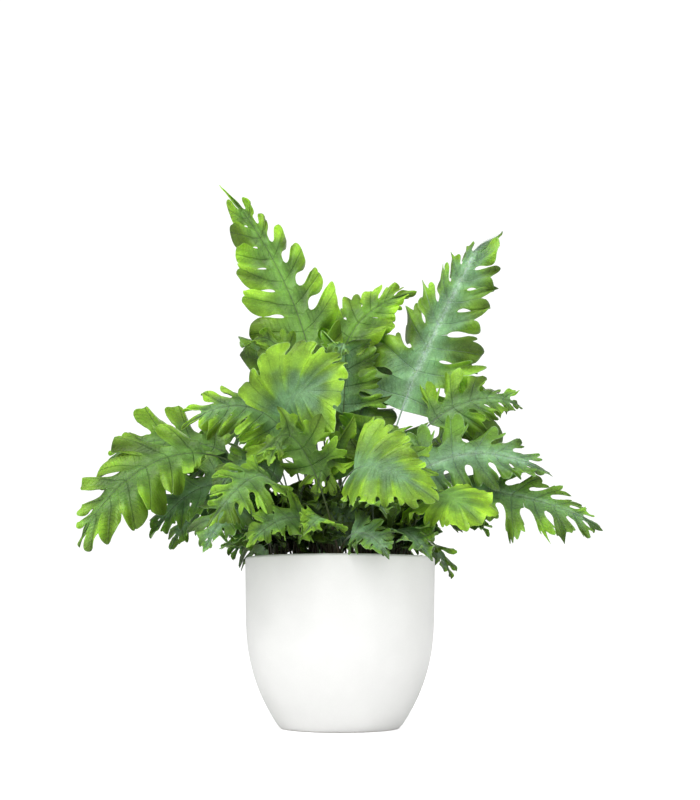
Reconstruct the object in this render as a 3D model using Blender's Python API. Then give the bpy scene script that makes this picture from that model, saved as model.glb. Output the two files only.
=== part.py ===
"""A potted blue star fern: a plain white glazed pot, potting soil, a creeping rhizome and its fronds.

Run with blender --background --python part.py. Metres, +Z up. The origin is the centre of the
pot's foot, -Y is towards the viewer and +X is to the viewer's right.
"""

import math
from typing import NamedTuple

import bmesh
import bpy
import numpy as np
from mathutils import Vector
from mathutils.bvhtree import BVHTree

MM = 0.001
UP = np.array([0.0, 0.0, 1.0])

# The pot, in millimetres
POT_HEIGHT = 123.0
POT_MOUTH_RADIUS = 70.0
POT_SHOULDER_RADIUS = 68.8
POT_SHOULDER_HEIGHT = 72.0
POT_FOOT_RADIUS = 43.5
POT_FOOT_PULL = (56.0, 17.0)
POT_SHOULDER_PULL = (67.6, 40.0)
POT_WALL = 4.6
POT_FLOOR = 6.0
POT_FLOOR_ROUND = 3.0
POT_LIP_RADIUS = 2.2
POT_LIP_STEPS = 4
POT_SIDES = 32
POT_CURVE_STEPS = 5

# The potting soil
SOIL_EDGE_HEIGHT = 111.5
SOIL_CROWN = 3.5
SOIL_LUMP = 0.9
SOIL_RINGS = 4
GAP = 0.4

# The rhizome: arms that creep out from the middle, half sunk in the soil
ARM_COUNT = 6
ARM_FIRST_AZIMUTH = 30.0
ARM_START = 3.0
ARM_LENGTH = 49.0
ARM_END = 3.2
ARM_THICK_RADIUS = 6.4
ARM_THIN_RADIUS = 5.2
ARM_CURVE = 0.35
ARM_SIDES = 7
ARM_STEPS = 6
ARM_LIFT = 1.6
SOCKETS_PER_ARM = 9
SOCKET_FIRST = 5.2
SOCKET_SPACING = 5.4
SOCKET_SIDE = 1.2
SOCKET_RADIUS = 2.3
SOCKET_DEPTH = 3.4
SOCKET_CUT = 14.0
SOCKET_SIDES = 6

# The fronds. A frond with no room where it is drawn takes the first of a row of nudges, small ones
# first, that gives it room. Each is a turn about its foot, about X, Y and Z by these degrees at most.
# Fronds of the tiers have seeds from PLAIN_ENDS on, and lobes that taper in one piece.
STALK_HALF = 1.1
STALK_RISE = 0.46
STALK_LEAN = 0.16
RIB_END_HALF = 0.35
BLADE_THICKNESS = 0.8
STALK_ROWS = 4
LOBE_SHOULDER = 0.36
LOBE_SINUS = 0.35
LOBE_VARIATION = 0.10
LOBE_TWIST = 0.22
TIP_PINCH = 0.42
CLEARANCE = 0.7
NUDGES = 700
NUDGE_STEPS = (0.8191725, 0.6710436, 0.5497005)
FRONT_TURNS = (24, 9, 16)
TIER_TURNS = (22, 22, 40)
RIM_CLEARANCE = 2.5
LOWEST_BLADE = 108.0

GREEN_BLADE = (0.19, 0.37, 0.06, 1.0)
BLUE_BLADE = (0.14, 0.29, 0.13, 1.0)
WHITE_GLAZE = (0.86, 0.86, 0.84, 1.0)
DARK_SOIL = (0.035, 0.022, 0.014, 1.0)
RUSTY_FUR = (0.36, 0.17, 0.05, 1.0)


class Blade(NamedTuple):
    """What one kind of blade is like."""

    spread: tuple  # angle of the lowest and of the highest lobes to the rib, degrees
    joined: float  # share of a lobe's length that is one with its neighbours
    tip: float  # share of the blade's length that the end lobe takes
    envelope: tuple  # lobe length at the foot, the middle and the top of the blade
    hook: float  # how far lobes bend towards the tip
    lift: float  # how steeply lobes rise from the rib
    droop: float  # how far their ends hang
    gap: float  # share of the room between neighbours that is left open
    flare: float  # how much lobes widen towards their ends


BLADES = {
    "lance": Blade((82, 44), 0.26, 0.15, (0.86, 1.0, 0.36), 0.30, 0.30, 0.30, 0.30, 0.20),
    "broad": Blade((88, 46), 0.28, 0.16, (1.0, 0.58, 0.36), 0.30, 0.22, 0.30, 0.30, 0.16),
    "ovate": Blade((92, 40), 0.32, 0.22, (1.0, 0.90, 0.50), 0.24, 0.24, 0.32, 0.30, 0.14),
    "fan": Blade((124, 30), 0.78, 0.46, (0.86, 1.0, 0.96), 0.10, 0.16, 0.34, 0.08, 0.04),
}


class Frond(NamedTuple):
    """One frond. Places are in millimetres."""

    name: str
    arm: int  # arm of the rhizome that it grows from
    place: int  # socket on that arm, 0 nearest the middle
    bend: tuple  # the point that pulls the rib over
    tip: tuple  # the end of the rib
    face: tuple  # the way that the blade's upper side looks
    stalk: float  # share of the rib below the lobes
    width: float  # length of the longest lobes
    pairs: int  # pairs of lobes
    kind: str  # a key of BLADES
    tone: float  # 0 yellow-green, 1 blue-green
    seed: int  # of its own irregularities


# Fronds that the view from the front shows, the most prominent first, with a Frond's values in order
FRONT_ROWS = (
    ("tall_right", 0, 5, (97, 30, 332), (116, 44, 391), (-0.25, -1, 0.25), 0.42, 72, 7, "broad", 0.85, 2),
    ("tall_left", 2, 0, (-22, 40, 328), (-97, 62, 430), (0.15, -1, 0.1), 0.44, 38, 7, "lance", 0.2, 1),
    ("fan_left", 3, 2, (-74, -52, 248), (6, -66, 236), (0.1, -1, 0.3), 0.64, 43, 5, "fan", 0.1, 4),
    ("fan_right", 4, 3, (6, -96, 206), (72, -104, 151), (0.1, -1, 0.4), 0.5, 42, 5, "fan", 0.3, 11),
    ("far_left", 3, 4, (-139, -34, 232), (-182, -66, 128), (-0.35, -0.8, 0.5), 0.48, 42, 6, "lance", 0.25, 6),
    ("right_blue", 5, 3, (93, -18, 218), (154, -34, 181), (0.05, -0.85, 0.6), 0.44, 46, 5, "ovate", 1, 12),
    ("far_right", 5, 1, (128, -34, 176), (188, -46, 138), (0.1, -0.85, 0.6), 0.46, 40, 6, "lance", 0.65, 13),
    ("right_front", 5, 8, (66, -70, 182), (98, -90, 142), (0.2, -0.9, 0.6), 0.52, 29, 4, "fan", 0, 14),
    ("left_front", 3, 6, (-50, -72, 204), (-90, -92, 138), (-0.1, -0.9, 0.5), 0.44, 36, 5, "ovate", 0.25, 9),
    ("mid_back", 1, 1, (-22, 52, 322), (58, 62, 344), (-0.1, -1, 0.5), 0.62, 40, 5, "ovate", 0.05, 3),
    ("rim_right", 5, 5, (40, -84, 150), (54, -108, 122), (0.1, -0.9, 0.6), 0.38, 25, 4, "ovate", 0.8, 26),
    ("rim_centre", 4, 6, (-10, -90, 154), (-24, -106, 124), (0, -1, 0.5), 0.36, 20, 4, "ovate", 0.5, 24),
    ("rim_centre_right", 4, 7, (12, -90, 152), (20, -106, 124), (0, -1, 0.5), 0.36, 20, 4, "ovate", 0.75, 25),
    ("rim_left", 3, 7, (-76, -50, 176), (-93, -76, 122), (-0.2, -0.8, 0.6), 0.36, 30, 4, "lance", 0.8, 10),
    ("rim_mid_left", 4, 5, (-38, -84, 160), (-60, -102, 122), (-0.1, -0.9, 0.5), 0.36, 26, 4, "ovate", 0.6, 23),
    ("rim_far_right", 5, 6, (76, -42, 170), (100, -56, 124), (0.2, -0.8, 0.7), 0.38, 32, 4, "broad", 0.85, 27),
    ("upper_left", 3, 1, (-58, -24, 262), (-116, -36, 214), (0, -0.85, 0.7), 0.46, 40, 6, "ovate", 0.3, 5),
    ("left_rear", 2, 4, (-145, 14, 234), (-180, 6, 190), (-0.1, -0.8, 0.6), 0.52, 36, 5, "lance", 0.1, 7),
    ("left_low", 3, 5, (-106, -14, 202), (-138, -24, 132), (-0.3, -0.8, 0.6), 0.4, 36, 5, "ovate", 0.8, 8),
    ("right_mid", 0, 4, (104, 16, 260), (144, 26, 232), (0, -0.8, 0.6), 0.6, 32, 5, "lance", 0.25, 19),
    ("mid_centre", 4, 1, (-7, -30, 236), (-17, -58, 162), (0, -0.95, 0.3), 0.44, 34, 4, "ovate", 0.5, 16),
    ("high_centre", 1, 0, (9, 0, 322), (-4, -20, 262), (0, -1, 0.5), 0.58, 34, 5, "ovate", 0.85, 17),
    ("high_left", 2, 1, (-48, 18, 316), (-72, 8, 284), (0.1, -1, 0.5), 0.58, 30, 4, "lance", 0.4, 20),
    ("dark_centre", 0, 0, (34, -8, 246), (30, -40, 188), (0, -1, 0.4), 0.5, 34, 4, "ovate", 0.5, 21),
    ("mid_left", 3, 3, (-64, -36, 214), (-92, -58, 158), (-0.2, -0.9, 0.6), 0.46, 28, 4, "ovate", 0.7, 18),
    ("right_low", 0, 7, (88, -14, 190), (108, -36, 140), (0.1, -0.8, 0.7), 0.42, 32, 4, "ovate", 0.8, 15),
    ("left_dark", 2, 5, (-96, -2, 216), (-134, -4, 172), (-0.1, -0.8, 0.6), 0.46, 32, 4, "lance", 0.9, 29),
    ("rim_far_left", 2, 6, (-106, 20, 190), (-128, 10, 128), (-0.2, -0.8, 0.6), 0.4, 34, 5, "lance", 0.7, 22),
)
FRONT_FRONDS = [Frond(*row) for row in FRONT_ROWS]


class Cut(NamedTuple):
    """The lobes of a frond that stands out, from the lowest to the highest."""

    left: tuple  # their lengths, millimetres
    left_angles: tuple  # to the rib, degrees
    right: tuple
    right_angles: tuple


CUTS = {
    "tall_right": Cut(
        (60, 40, 36, 34, 29, 24, 17), (102, 80, 66, 58, 54, 52, 46),
        (74, 52, 40, 38, 35, 32, 24), (98, 84, 75, 68, 66, 62, 56),
    ),
    "tall_left": Cut(
        (36, 42, 43, 38, 29, 22, 15), (86, 74, 68, 65, 62, 58, 50),
        (36, 42, 41, 36, 30, 23, 15), (66, 60, 56, 50, 46, 42, 38),
    ),
    "fan_left": Cut((36, 44, 44, 40, 36), (60, 54, 47, 40, 34), (20, 29, 35, 38, 38), (148, 126, 104, 82, 60)),
    "fan_right": Cut((42, 37, 28, 26, 24), (86, 68, 54, 44, 34), (25, 31, 31, 27, 24), (118, 94, 74, 57, 42)),
    "far_left": Cut(
        (26, 37, 42, 43, 37, 25), (86, 79, 71, 62, 52, 42), (32, 44, 42, 35, 26, 18), (72, 64, 60, 55, 50, 44)
    ),
    "right_blue": Cut((34, 33, 31, 28, 19), (98, 84, 70, 58, 46), (27, 33, 34, 28, 19), (100, 86, 72, 60, 48)),
    "far_right": Cut(
        (20, 27, 29, 27, 22, 15), (70, 62, 56, 51, 46, 40), (26, 37, 42, 38, 30, 20), (98, 89, 80, 69, 58, 46)
    ),
    "left_front": Cut((27, 33, 34, 28, 19), (92, 82, 72, 60, 48), (22, 25, 23, 19, 14), (80, 70, 62, 54, 46)),
    "mid_back": Cut((28, 35, 36, 30, 21), (78, 66, 58, 50, 42), (24, 30, 30, 24, 17), (84, 72, 62, 52, 44)),
}


class Tier(NamedTuple):
    """Fronds that fan out at one height."""

    name: str
    count: int
    headings: tuple  # from the first to the last, degrees
    reach: float  # how far out the tips are
    height: float  # of the tips
    arch: float  # how far the ribs arch over their tips
    upright: float  # how steeply the blades' upper sides look up
    outward: float  # how far they look out, which is negative where they look in
    width: float
    pairs: int
    kind: str
    inner: bool  # whether they take the sockets nearest the middle first
    stalk: float  # share of the ribs below the lobes


TIERS = (
    Tier("back_high", 4, (42, 146), 104, 286, 44, 0.5, -1.0, 32, 4, "lance", True, 0.5),
    Tier("back_mid", 5, (6, 166), 138, 208, 66, 1.0, 0.35, 34, 4, "ovate", False, 0.5),
    Tier("back_low", 5, (10, 160), 106, 126, 54, 1.0, 0.35, 29, 4, "ovate", False, 0.5),
    Tier("back_rim", 5, (15, 165), 90, 130, 26, 1.0, 0.3, 27, 3, "ovate", False, 0.5),
    Tier("front_mid", 2, (210, 330), 70, 178, 44, 0.7, 1.0, 26, 4, "ovate", False, 0.5),
    Tier("front_rim", 4, (205, 300), 92, 132, 26, 0.8, 1.0, 21, 3, "ovate", False, 0.5),
)
TIER_BEND = 0.62
TIER_VARIATION = 0.09
PLAIN_ENDS = 31


def unit(vector):
    return vector / np.linalg.norm(vector)


def smooth(x):
    """Goes from 0 to 1 with level ends."""
    x = np.clip(x, 0.0, 1.0)
    return x * x * (3 - 2 * x)


def bezier(points, t):
    """Places on the curve of four points, and the directions there."""
    a, b, c, d = (np.asarray(p, float) for p in points)
    t = np.asarray(t, float)[..., None]
    place = (1 - t) ** 3 * a + 3 * (1 - t) ** 2 * t * b + 3 * (1 - t) * t**2 * c + t**3 * d
    way = 3 * (1 - t) ** 2 * (b - a) + 6 * (1 - t) * t * (c - b) + 3 * t**2 * (d - c)
    return place, way / np.linalg.norm(way, axis=-1, keepdims=True)


def soil_height(x, y):
    """The lumpy, slightly domed surface of the soil."""
    share = np.hypot(x, y) / POT_MOUTH_RADIUS
    lumps = np.sin(0.31 * x + 1.3) * np.cos(0.27 * y - 0.4) + 0.6 * np.sin(0.53 * y + 0.37 * x)
    return SOIL_EDGE_HEIGHT + SOIL_CROWN * (1 - share**2) + SOIL_LUMP * lumps * (1 - share**4)


def arm_place(arm, along):
    """A point on the middle line of an arm, and the arm's direction there."""
    azimuth = math.radians(ARM_FIRST_AZIMUTH + arm * 360 / ARM_COUNT)

    def at(distance):
        turn = azimuth + ARM_CURVE * math.sin(distance / ARM_LENGTH * 2.4 + arm)
        reach = ARM_START + distance
        x, y = reach * math.cos(turn), reach * math.sin(turn)
        return np.array([x, y, soil_height(x, y) + ARM_LIFT])

    here = at(along)
    return here, unit(at(along + 1.0) - here)


def arm_radius(along):
    swell = 1 + 0.08 * math.sin(along * 0.55)
    return (ARM_THICK_RADIUS + (ARM_THIN_RADIUS - ARM_THICK_RADIUS) * along / ARM_LENGTH) * swell


def foot_of(frond):
    """Where a frond's stalk stands in the rhizome. Sockets lie left and right of the arm's back."""
    along = SOCKET_FIRST + frond.place * SOCKET_SPACING
    middle, way = arm_place(frond.arm, along)
    side = unit(np.cross(UP, way)) * (SOCKET_SIDE if frond.place % 2 else -SOCKET_SIDE)
    top = math.sqrt(arm_radius(along) ** 2 - SOCKET_SIDE**2)
    return middle + side + UP * (top - SOCKET_DEPTH)


def rib_curve(frond):
    """The four points of the rib's curve: it leaves the foot steeply, then follows bend and tip."""
    foot = foot_of(frond)
    bend = np.array(frond.bend, float)
    away = bend - foot
    rise = foot + STALK_RISE * np.linalg.norm(away) * UP + STALK_LEAN * away
    return foot, rise, bend, np.array(frond.tip, float)


class Rib:
    """The rib of one frond: places and frames by share of its length."""

    def __init__(self, frond):
        self.points = rib_curve(frond)
        self.face = unit(np.array(frond.face, float))
        t = np.linspace(0, 1, 121)
        places, _ = bezier(self.points, t)
        run = np.concatenate([[0], np.cumsum(np.linalg.norm(np.diff(places, axis=0), axis=1))])
        self.share, self.t = run / run[-1], t
        self.stalk = frond.stalk

    def at(self, share):
        """Place, way along, way across to the left and way up, at shares of the rib's length."""
        place, way = bezier(self.points, np.interp(share, self.share, self.t))
        turned = smooth(np.asarray(share, float) / self.stalk)[..., None]
        start = unit(np.cross(UP, self.points[3] - self.points[0]))
        start = unit(np.cross(unit(self.points[1] - self.points[0]), start))
        up = start * (1 - turned) + self.face * turned
        up = up - (up * way).sum(-1, keepdims=True) * way
        up = up / np.linalg.norm(up, axis=-1, keepdims=True)
        return place, way, np.cross(up, way), up

    def half(self, share):
        """Half the rib's width."""
        return STALK_HALF + (RIB_END_HALF - STALK_HALF) * np.clip(share, 0, 1) ** 1.5


class Lobes:
    """The lobes of a frond's blade, as surfaces between their middle lines."""

    def __init__(self, frond):
        self.blade = BLADES[frond.kind]
        self.rib = Rib(frond)
        self.pairs = frond.pairs
        rng = np.random.default_rng(frond.seed)
        share = np.arange(frond.pairs + 1) / frond.pairs
        end = 1 - self.blade.tip * (1 - frond.stalk)
        self.rows = frond.stalk + (end - frond.stalk) * (1.12 * share - 0.12 * share**2)
        low, middle, top = self.blade.envelope
        at = (np.arange(frond.pairs) + 0.5) / frond.pairs
        envelope = low + (middle - low) * smooth(at / 0.4) + (top - middle) * smooth((at - 0.4) / 0.6)
        jitter = rng.uniform(-1, 1, (5, 2, frond.pairs))
        spread = self.blade.spread[0] + (self.blade.spread[1] - self.blade.spread[0]) * at
        self.length = frond.width * envelope * (1 + LOBE_VARIATION * jitter[0])
        self.angle = np.radians(spread + 4 * jitter[1])
        self.lift = self.blade.lift * (1 + 0.5 * jitter[2])
        self.droop = self.blade.droop * (1 + 0.6 * jitter[3])
        self.twist = LOBE_TWIST * (1 + jitter[4])
        cut = CUTS.get(frond.name)
        if cut:
            self.length = np.array([cut.right, cut.left], float)
            self.angle = np.radians([cut.right_angles, cut.left_angles])

    def root(self, side, share):
        place, _, across, _ = self.rib.at(share)
        return place + side * self.rib.half(share)[..., None] * across

    def middle_line(self, side, i, a):
        """The middle line of lobe i of a side (1 left, -1 right), at shares a of its length."""
        a = np.asarray(a, float)[..., None]
        if i == self.pairs:
            share = self.rows[-1] + a[..., 0] * (1 - self.rows[-1])
            return self.rib.at(share)[0]
        if i < 0:
            return 2 * self.middle_line(side, 0, a[..., 0]) - self.middle_line(side, 1, a[..., 0])
        share = (self.rows[i] + self.rows[i + 1]) / 2
        _, way, across, up = self.rib.at(share)
        k = (side + 1) // 2
        angle, out = self.angle[k, i], side * across
        ahead = math.cos(angle) * way + math.sin(angle) * out
        hook = self.blade.hook * (math.sin(angle) * way - math.cos(angle) * out)
        rise = self.lift[k, i] * a - self.droop[k, i] * a**2
        return self.root(side, share) + self.length[k, i] * (a * ahead + a**2 * hook / 2 + rise * up)

    def border(self, side, i, a):
        """The line midway between lobes i and i + 1 of a side, which starts on the rib."""
        a = np.asarray(a, float)
        middle = (self.middle_line(side, i, a) + self.middle_line(side, i + 1, a)) / 2
        start = (self.middle_line(side, i, 0.0) + self.middle_line(side, i + 1, 0.0)) / 2
        fade = np.clip(1 - a / self.blade.joined, 0, 1)[..., None]
        return middle + fade * (self.root(side, self.rows[i + 1]) - start)

    def surface(self, side, i, rho, b):
        """Points of a lobe: rho from root to end, b from its lower edge, -1, to its upper edge, 1.

        The end lobe is i == pairs: there b runs from its right edge to its left edge.
        """
        rho, b = np.broadcast_arrays(np.asarray(rho, float), np.asarray(b, float))
        c = self.blade.joined
        shoulder = c + LOBE_SHOULDER * (1 - c)
        end = shoulder + (1 - shoulder) * np.sqrt(np.clip(1 - b**2, 0, 1))
        a = np.where(rho < c, rho, c + (rho - c) * (end - c) / (1 - c))
        free = np.clip((a - c) / (1 - c), 0, 1)
        share = 1 - self.blade.gap * smooth(free / LOBE_SINUS) + self.blade.flare * free
        middle = self.middle_line(side, i, a)
        if i == self.pairs:
            left = self.border(1, i - 1, a)
            right = self.border(-1, i - 1, a)
            edge = np.where((b > 0)[..., None], left, right)
            return middle + (edge - middle) * (share * np.abs(b))[..., None]
        edge = np.where((b > 0)[..., None], self.border(side, i, a), self.border(side, i - 1, a))
        point = middle + (edge - middle) * (share * np.abs(b))[..., None]
        k = (side + 1) // 2
        half = np.linalg.norm(edge - middle, axis=-1) * share * b
        up = self.rib.at((self.rows[i] + self.rows[i + 1]) / 2)[3]
        return point + (half * self.twist[k, i] * free)[..., None] * up


class Sheet:
    """A surface with no thickness, put together from strips whose shared points are merged."""

    def __init__(self):
        self.points, self.weights, self.faces, self._known = [], [], [], {}

    def _index(self, point, weight):
        key = tuple(np.round(point / 0.01).astype(int))
        if key not in self._known:
            self._known[key] = len(self.points)
            self.points.append(point)
            self.weights.append(weight)
        return self._known[key]

    def strip(self, right, left, weights):
        """Triangles between two lines of points, the right one and the left one, looking along them."""
        rows = [(self._index(r, w), self._index(l, w)) for r, l, w in zip(right, left, weights)]
        for (r0, l0), (r1, l1) in zip(rows, rows[1:]):
            self.faces += [(r0, r1, l1), (r0, l1, l0)]


def blade_sheet(frond):
    """The frond as a plain sheet: stalk and rib as a narrow strip, and a strip for each lobe."""
    lobes = Lobes(frond)
    pairs = frond.pairs
    sheet = Sheet()
    shares = np.concatenate([np.linspace(0, frond.stalk, STALK_ROWS + 1), lobes.rows[1:]])
    thick = 1 - 0.75 * smooth((shares - frond.stalk * 0.8) / (1 - frond.stalk))
    sheet.strip(lobes.root(-1, shares), lobes.root(1, shares), thick)
    rows = np.array([0.0, lobes.blade.joined, 1.0, 1.0])
    pinch = np.array([1.0, 1.0, 1.0, TIP_PINCH])
    if frond.seed >= PLAIN_ENDS:
        rows, pinch = np.delete(rows, 2), np.delete(pinch, 2)
    for i in range(pairs):
        for side in (-1, 1):
            lower = lobes.surface(side, i, rows, -pinch)
            upper = lobes.surface(side, i, rows, pinch)
            lower[0], upper[0] = lobes.root(side, lobes.rows[i : i + 2])
            weights = [thick[STALK_ROWS + i]] + [0] * (len(rows) - 1)
            right, left = (upper, lower) if side > 0 else (lower, upper)
            sheet.strip(right, left, weights)
    right, left = (lobes.surface(1, pairs, rows, side * pinch) for side in (-1, 1))
    right[0], left[0] = lobes.root(-1, lobes.rows[-1]), lobes.root(1, lobes.rows[-1])
    sheet.strip(right, left, [thick[-1]] + [0] * (len(rows) - 1))
    return sheet


def thickened(points, faces, half):
    """Points and triangles of a sheet given a thickness of twice half on its normals."""
    points, faces = np.asarray(points), np.asarray(faces)
    corners = points[faces]
    normal = np.cross(corners[:, 1] - corners[:, 0], corners[:, 2] - corners[:, 0])
    offset = np.zeros_like(points)
    for k in range(3):
        np.add.at(offset, faces[:, k], normal)
    offset *= half / np.linalg.norm(offset, axis=1, keepdims=True)
    edges = {(a, b) for face in faces.tolist() for a, b in zip(face, face[1:] + face[:1])}
    start, end = np.array(sorted(edge for edge in edges if edge[::-1] not in edges)).T
    under = len(points)
    rim = [np.stack([end, start, start + under], 1), np.stack([end, start + under, end + under], 1)]
    faces = np.concatenate([faces, faces[:, ::-1] + under, *rim])
    return np.concatenate([points + offset, points - offset]), faces


def turn_to(k, turns):
    """Nudge k as a matrix. It turns a frond about its foot, by more the larger k is."""
    share = (k / NUDGES) ** (1 / 3)
    turn = np.eye(3)
    for axis, most, step in zip(np.eye(3), turns, NUDGE_STEPS):
        turn = turning(axis, math.radians(most) * share * (2 * (k * step % 1) - 1)) @ turn
    return turn


def turning(axis, angle):
    """The matrix of a turn about an axis through the origin."""
    x, y, z = axis
    cross = np.array([[0, -z, y], [z, 0, -x], [-y, x, 0]])
    return np.eye(3) + math.sin(angle) * cross + (1 - math.cos(angle)) * cross @ cross


def over_the_rim(points):
    """Whether a blade stays above the soil and over, or outside, the pot's rim."""
    inside = np.hypot(points[:, 0], points[:, 1]) < POT_MOUTH_RADIUS + RIM_CLEARANCE
    low = np.where(inside, POT_HEIGHT + RIM_CLEARANCE, LOWEST_BLADE)
    return bool((points[:, 2] > low).all())


def tree_of(points, faces):
    return BVHTree.FromPolygons(points.tolist(), faces.tolist())


def settle(frond, turns, grown):
    """The frond's sheet at the nearest nudge that clears all grown fronds, and the nudge's matrix.

    Nudge 0 is the frond as drawn, so a frond that stands free isn't moved.
    """
    sheet = blade_sheet(frond)
    foot = foot_of(frond)
    points = np.array(sheet.points) - foot
    half = BLADE_THICKNESS / 2 + (STALK_HALF - BLADE_THICKNESS / 2) * np.array(sheet.weights)[:, None]
    solid, faces = thickened(points, sheet.faces, half)
    swollen, _ = thickened(points, sheet.faces, half + CLEARANCE)
    blade = 2 * (STALK_ROWS + 1)
    for k in range(NUDGES):
        turn = turn_to(k, turns).T
        if not over_the_rim(points[blade:] @ turn + foot):
            continue
        tree = tree_of(swollen @ turn + foot, faces)
        if any(tree.overlap(other) for other in grown):
            continue
        grown.append(tree_of(solid @ turn + foot, faces))
        sheet.points = points @ turn + foot
        return sheet, turn.T
    raise ValueError(f"{frond.name} finds no room: move its bend or its tip")


def free_socket(heading, inner, used):
    """The first free socket on the arm that points nearest the heading, or on the arms beside it."""
    arm = round((heading - ARM_FIRST_AZIMUTH) * ARM_COUNT / 360)
    places = range(SOCKETS_PER_ARM) if inner else range(SOCKETS_PER_ARM - 1, -1, -1)
    sockets = (((arm + step) % ARM_COUNT, place) for step in (0, 1, -1, 2, -2, 3) for place in places)
    return next(socket for socket in sockets if socket not in used)


def tier_fronds():
    """The fronds of the tiers, tier by tier."""
    fronds, used = [], {(f.arm, f.place) for f in FRONT_FRONDS}
    for tier in TIERS:
        for n in range(tier.count):
            heading = tier.headings[0] + (tier.headings[1] - tier.headings[0]) * (n + 0.5) / tier.count
            socket = free_socket(heading, tier.inner, used)
            used.add(socket)
            vary = 1 + TIER_VARIATION * math.sin(5 * n + tier.count)
            out = np.array([math.cos(math.radians(heading)), math.sin(math.radians(heading)), 0.0])
            tip = (out * tier.reach + UP * tier.height) * vary
            bend = (out * tier.reach * TIER_BEND + UP * (tier.height + tier.arch)) * vary
            face = out * tier.outward + UP * tier.upright
            name, seed = f"{tier.name}_{n + 1}", PLAIN_ENDS + len(fronds)
            shape = (tier.stalk, tier.width * vary, tier.pairs, tier.kind, 0.2 + 0.15 * (seed % 5), seed)
            fronds.append(Frond(name, *socket, tuple(bend), tuple(tip), tuple(face), *shape))
    return fronds


def material(name, colour, roughness):
    """A Principled material, made once."""
    made = bpy.data.materials.get(name) or bpy.data.materials.new(name)
    made.use_nodes = True
    made.diffuse_color = colour
    shader = made.node_tree.nodes["Principled BSDF"]
    shader.inputs["Base Color"].default_value = colour
    shader.inputs["Roughness"].default_value = roughness
    shader.inputs["Metallic"].default_value = 0.0
    return made


def add_object(name, points, faces, made_of):
    """An object from points in millimetres."""
    mesh = bpy.data.meshes.new(name)
    mesh.from_pydata([Vector(p) * MM for p in points], [], [tuple(f) for f in faces])
    mesh.update()
    obj = bpy.data.objects.new(name, mesh)
    bpy.context.scene.collection.objects.link(obj)
    if made_of:
        mesh.materials.append(made_of)
    return obj


def make_frond(frond, sheet):
    """A frond as one solid: its sheet with a Solidify that is thick on the stalk and thin on the lobes."""
    name, colour = ("frond_blue", BLUE_BLADE) if frond.tone > 0.45 else ("frond_green", GREEN_BLADE)
    obj = add_object(f"frond_{frond.name}", sheet.points, sheet.faces, material(name, colour, 0.5))
    group = obj.vertex_groups.new(name="stalk")
    for index, weight in enumerate(sheet.weights):
        group.add([index], float(weight), "REPLACE")
    thicken = obj.modifiers.new("Thickness", "SOLIDIFY")
    thicken.thickness = 2 * STALK_HALF * MM
    thicken.offset = 0
    thicken.vertex_group = group.name
    thicken.thickness_vertex_group = BLADE_THICKNESS / (2 * STALK_HALF)


def turned(name, profile, sides, made_of):
    """A round body from the (radius, height) points of a profile that starts and ends on the axis."""
    bm = bmesh.new()
    line = [bm.verts.new((r * MM, 0, z * MM)) for r, z in profile]
    edges = [bm.edges.new(pair) for pair in zip(line, line[1:])]
    turn = {"axis": (0, 0, 1), "cent": (0, 0, 0), "angle": 2 * math.pi, "steps": sides}
    bmesh.ops.spin(bm, geom=line + edges, use_merge=True, **turn)
    bmesh.ops.remove_doubles(bm, verts=bm.verts, dist=0.00001)
    bmesh.ops.recalc_face_normals(bm, faces=bm.faces)
    mesh = bpy.data.meshes.new(name)
    bm.to_mesh(mesh)
    bm.free()
    mesh.materials.append(made_of)
    mesh.shade_smooth()
    obj = bpy.data.objects.new(name, mesh)
    bpy.context.scene.collection.objects.link(obj)
    return obj


def pot_outside():
    """The outer profile: a swelling curve from the foot to the shoulder, then a nearly straight wall."""
    shoulder = (POT_SHOULDER_RADIUS, POT_SHOULDER_HEIGHT)
    curve = [(POT_FOOT_RADIUS, 0), POT_FOOT_PULL, POT_SHOULDER_PULL, shoulder]
    places, _ = bezier(curve, np.linspace(0, 1, POT_CURVE_STEPS + 1))
    return [tuple(p) for p in places]


def pot_inside():
    """The inner profile from the floor's edge to below the lip, one wall inside the outer one."""
    places = [(r - POT_WALL, z) for r, z in pot_outside() if z > POT_FLOOR + 2]
    return [(places[0][0] - POT_FLOOR_ROUND, POT_FLOOR)] + places


def make_pot():
    """The glazed pot: a flat foot, a curved wall and a rounded lip."""
    middle = np.array([POT_MOUTH_RADIUS - POT_LIP_RADIUS, POT_HEIGHT - POT_LIP_RADIUS])
    angles = np.linspace(0, math.pi, POT_LIP_STEPS + 1)
    lip = [tuple(middle + POT_LIP_RADIUS * np.array([math.cos(a), math.sin(a)])) for a in angles]
    profile = [(0, 0)] + pot_outside() + lip + pot_inside()[::-1] + [(0, POT_FLOOR)]
    return turned("pot", profile, POT_SIDES, material("glaze", WHITE_GLAZE, 0.3))


def inner_radius(height):
    """The pot's inner radius at a height above its floor."""
    lip = (POT_MOUTH_RADIUS - 2 * POT_LIP_RADIUS, POT_HEIGHT - POT_LIP_RADIUS)
    radii, heights = zip(*pot_inside(), lip)
    return float(np.interp(height, heights, radii))


def make_soil():
    """The soil fills the pot to just below the lip, with lumps raised on its surface."""
    inset = GAP / math.cos(math.pi / POT_SIDES)
    wall = [(r - inset, z) for r, z in pot_inside()[1:]]
    reach = inner_radius(SOIL_EDGE_HEIGHT) - inset
    rings = [(reach * (SOIL_RINGS - k) / SOIL_RINGS, SOIL_EDGE_HEIGHT) for k in range(SOIL_RINGS + 1)]
    bottom = [(0, POT_FLOOR + GAP), (wall[0][0] - POT_FLOOR_ROUND - GAP, POT_FLOOR + GAP)]
    soil = turned("soil", bottom + wall + rings, POT_SIDES, material("soil", DARK_SOIL, 0.95))
    for vertex in soil.data.vertices:
        x, y, z = vertex.co / MM
        if z > SOIL_EDGE_HEIGHT - GAP and math.hypot(x, y) < reach - GAP:
            vertex.co.z = soil_height(x, y) * MM
    return soil


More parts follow.
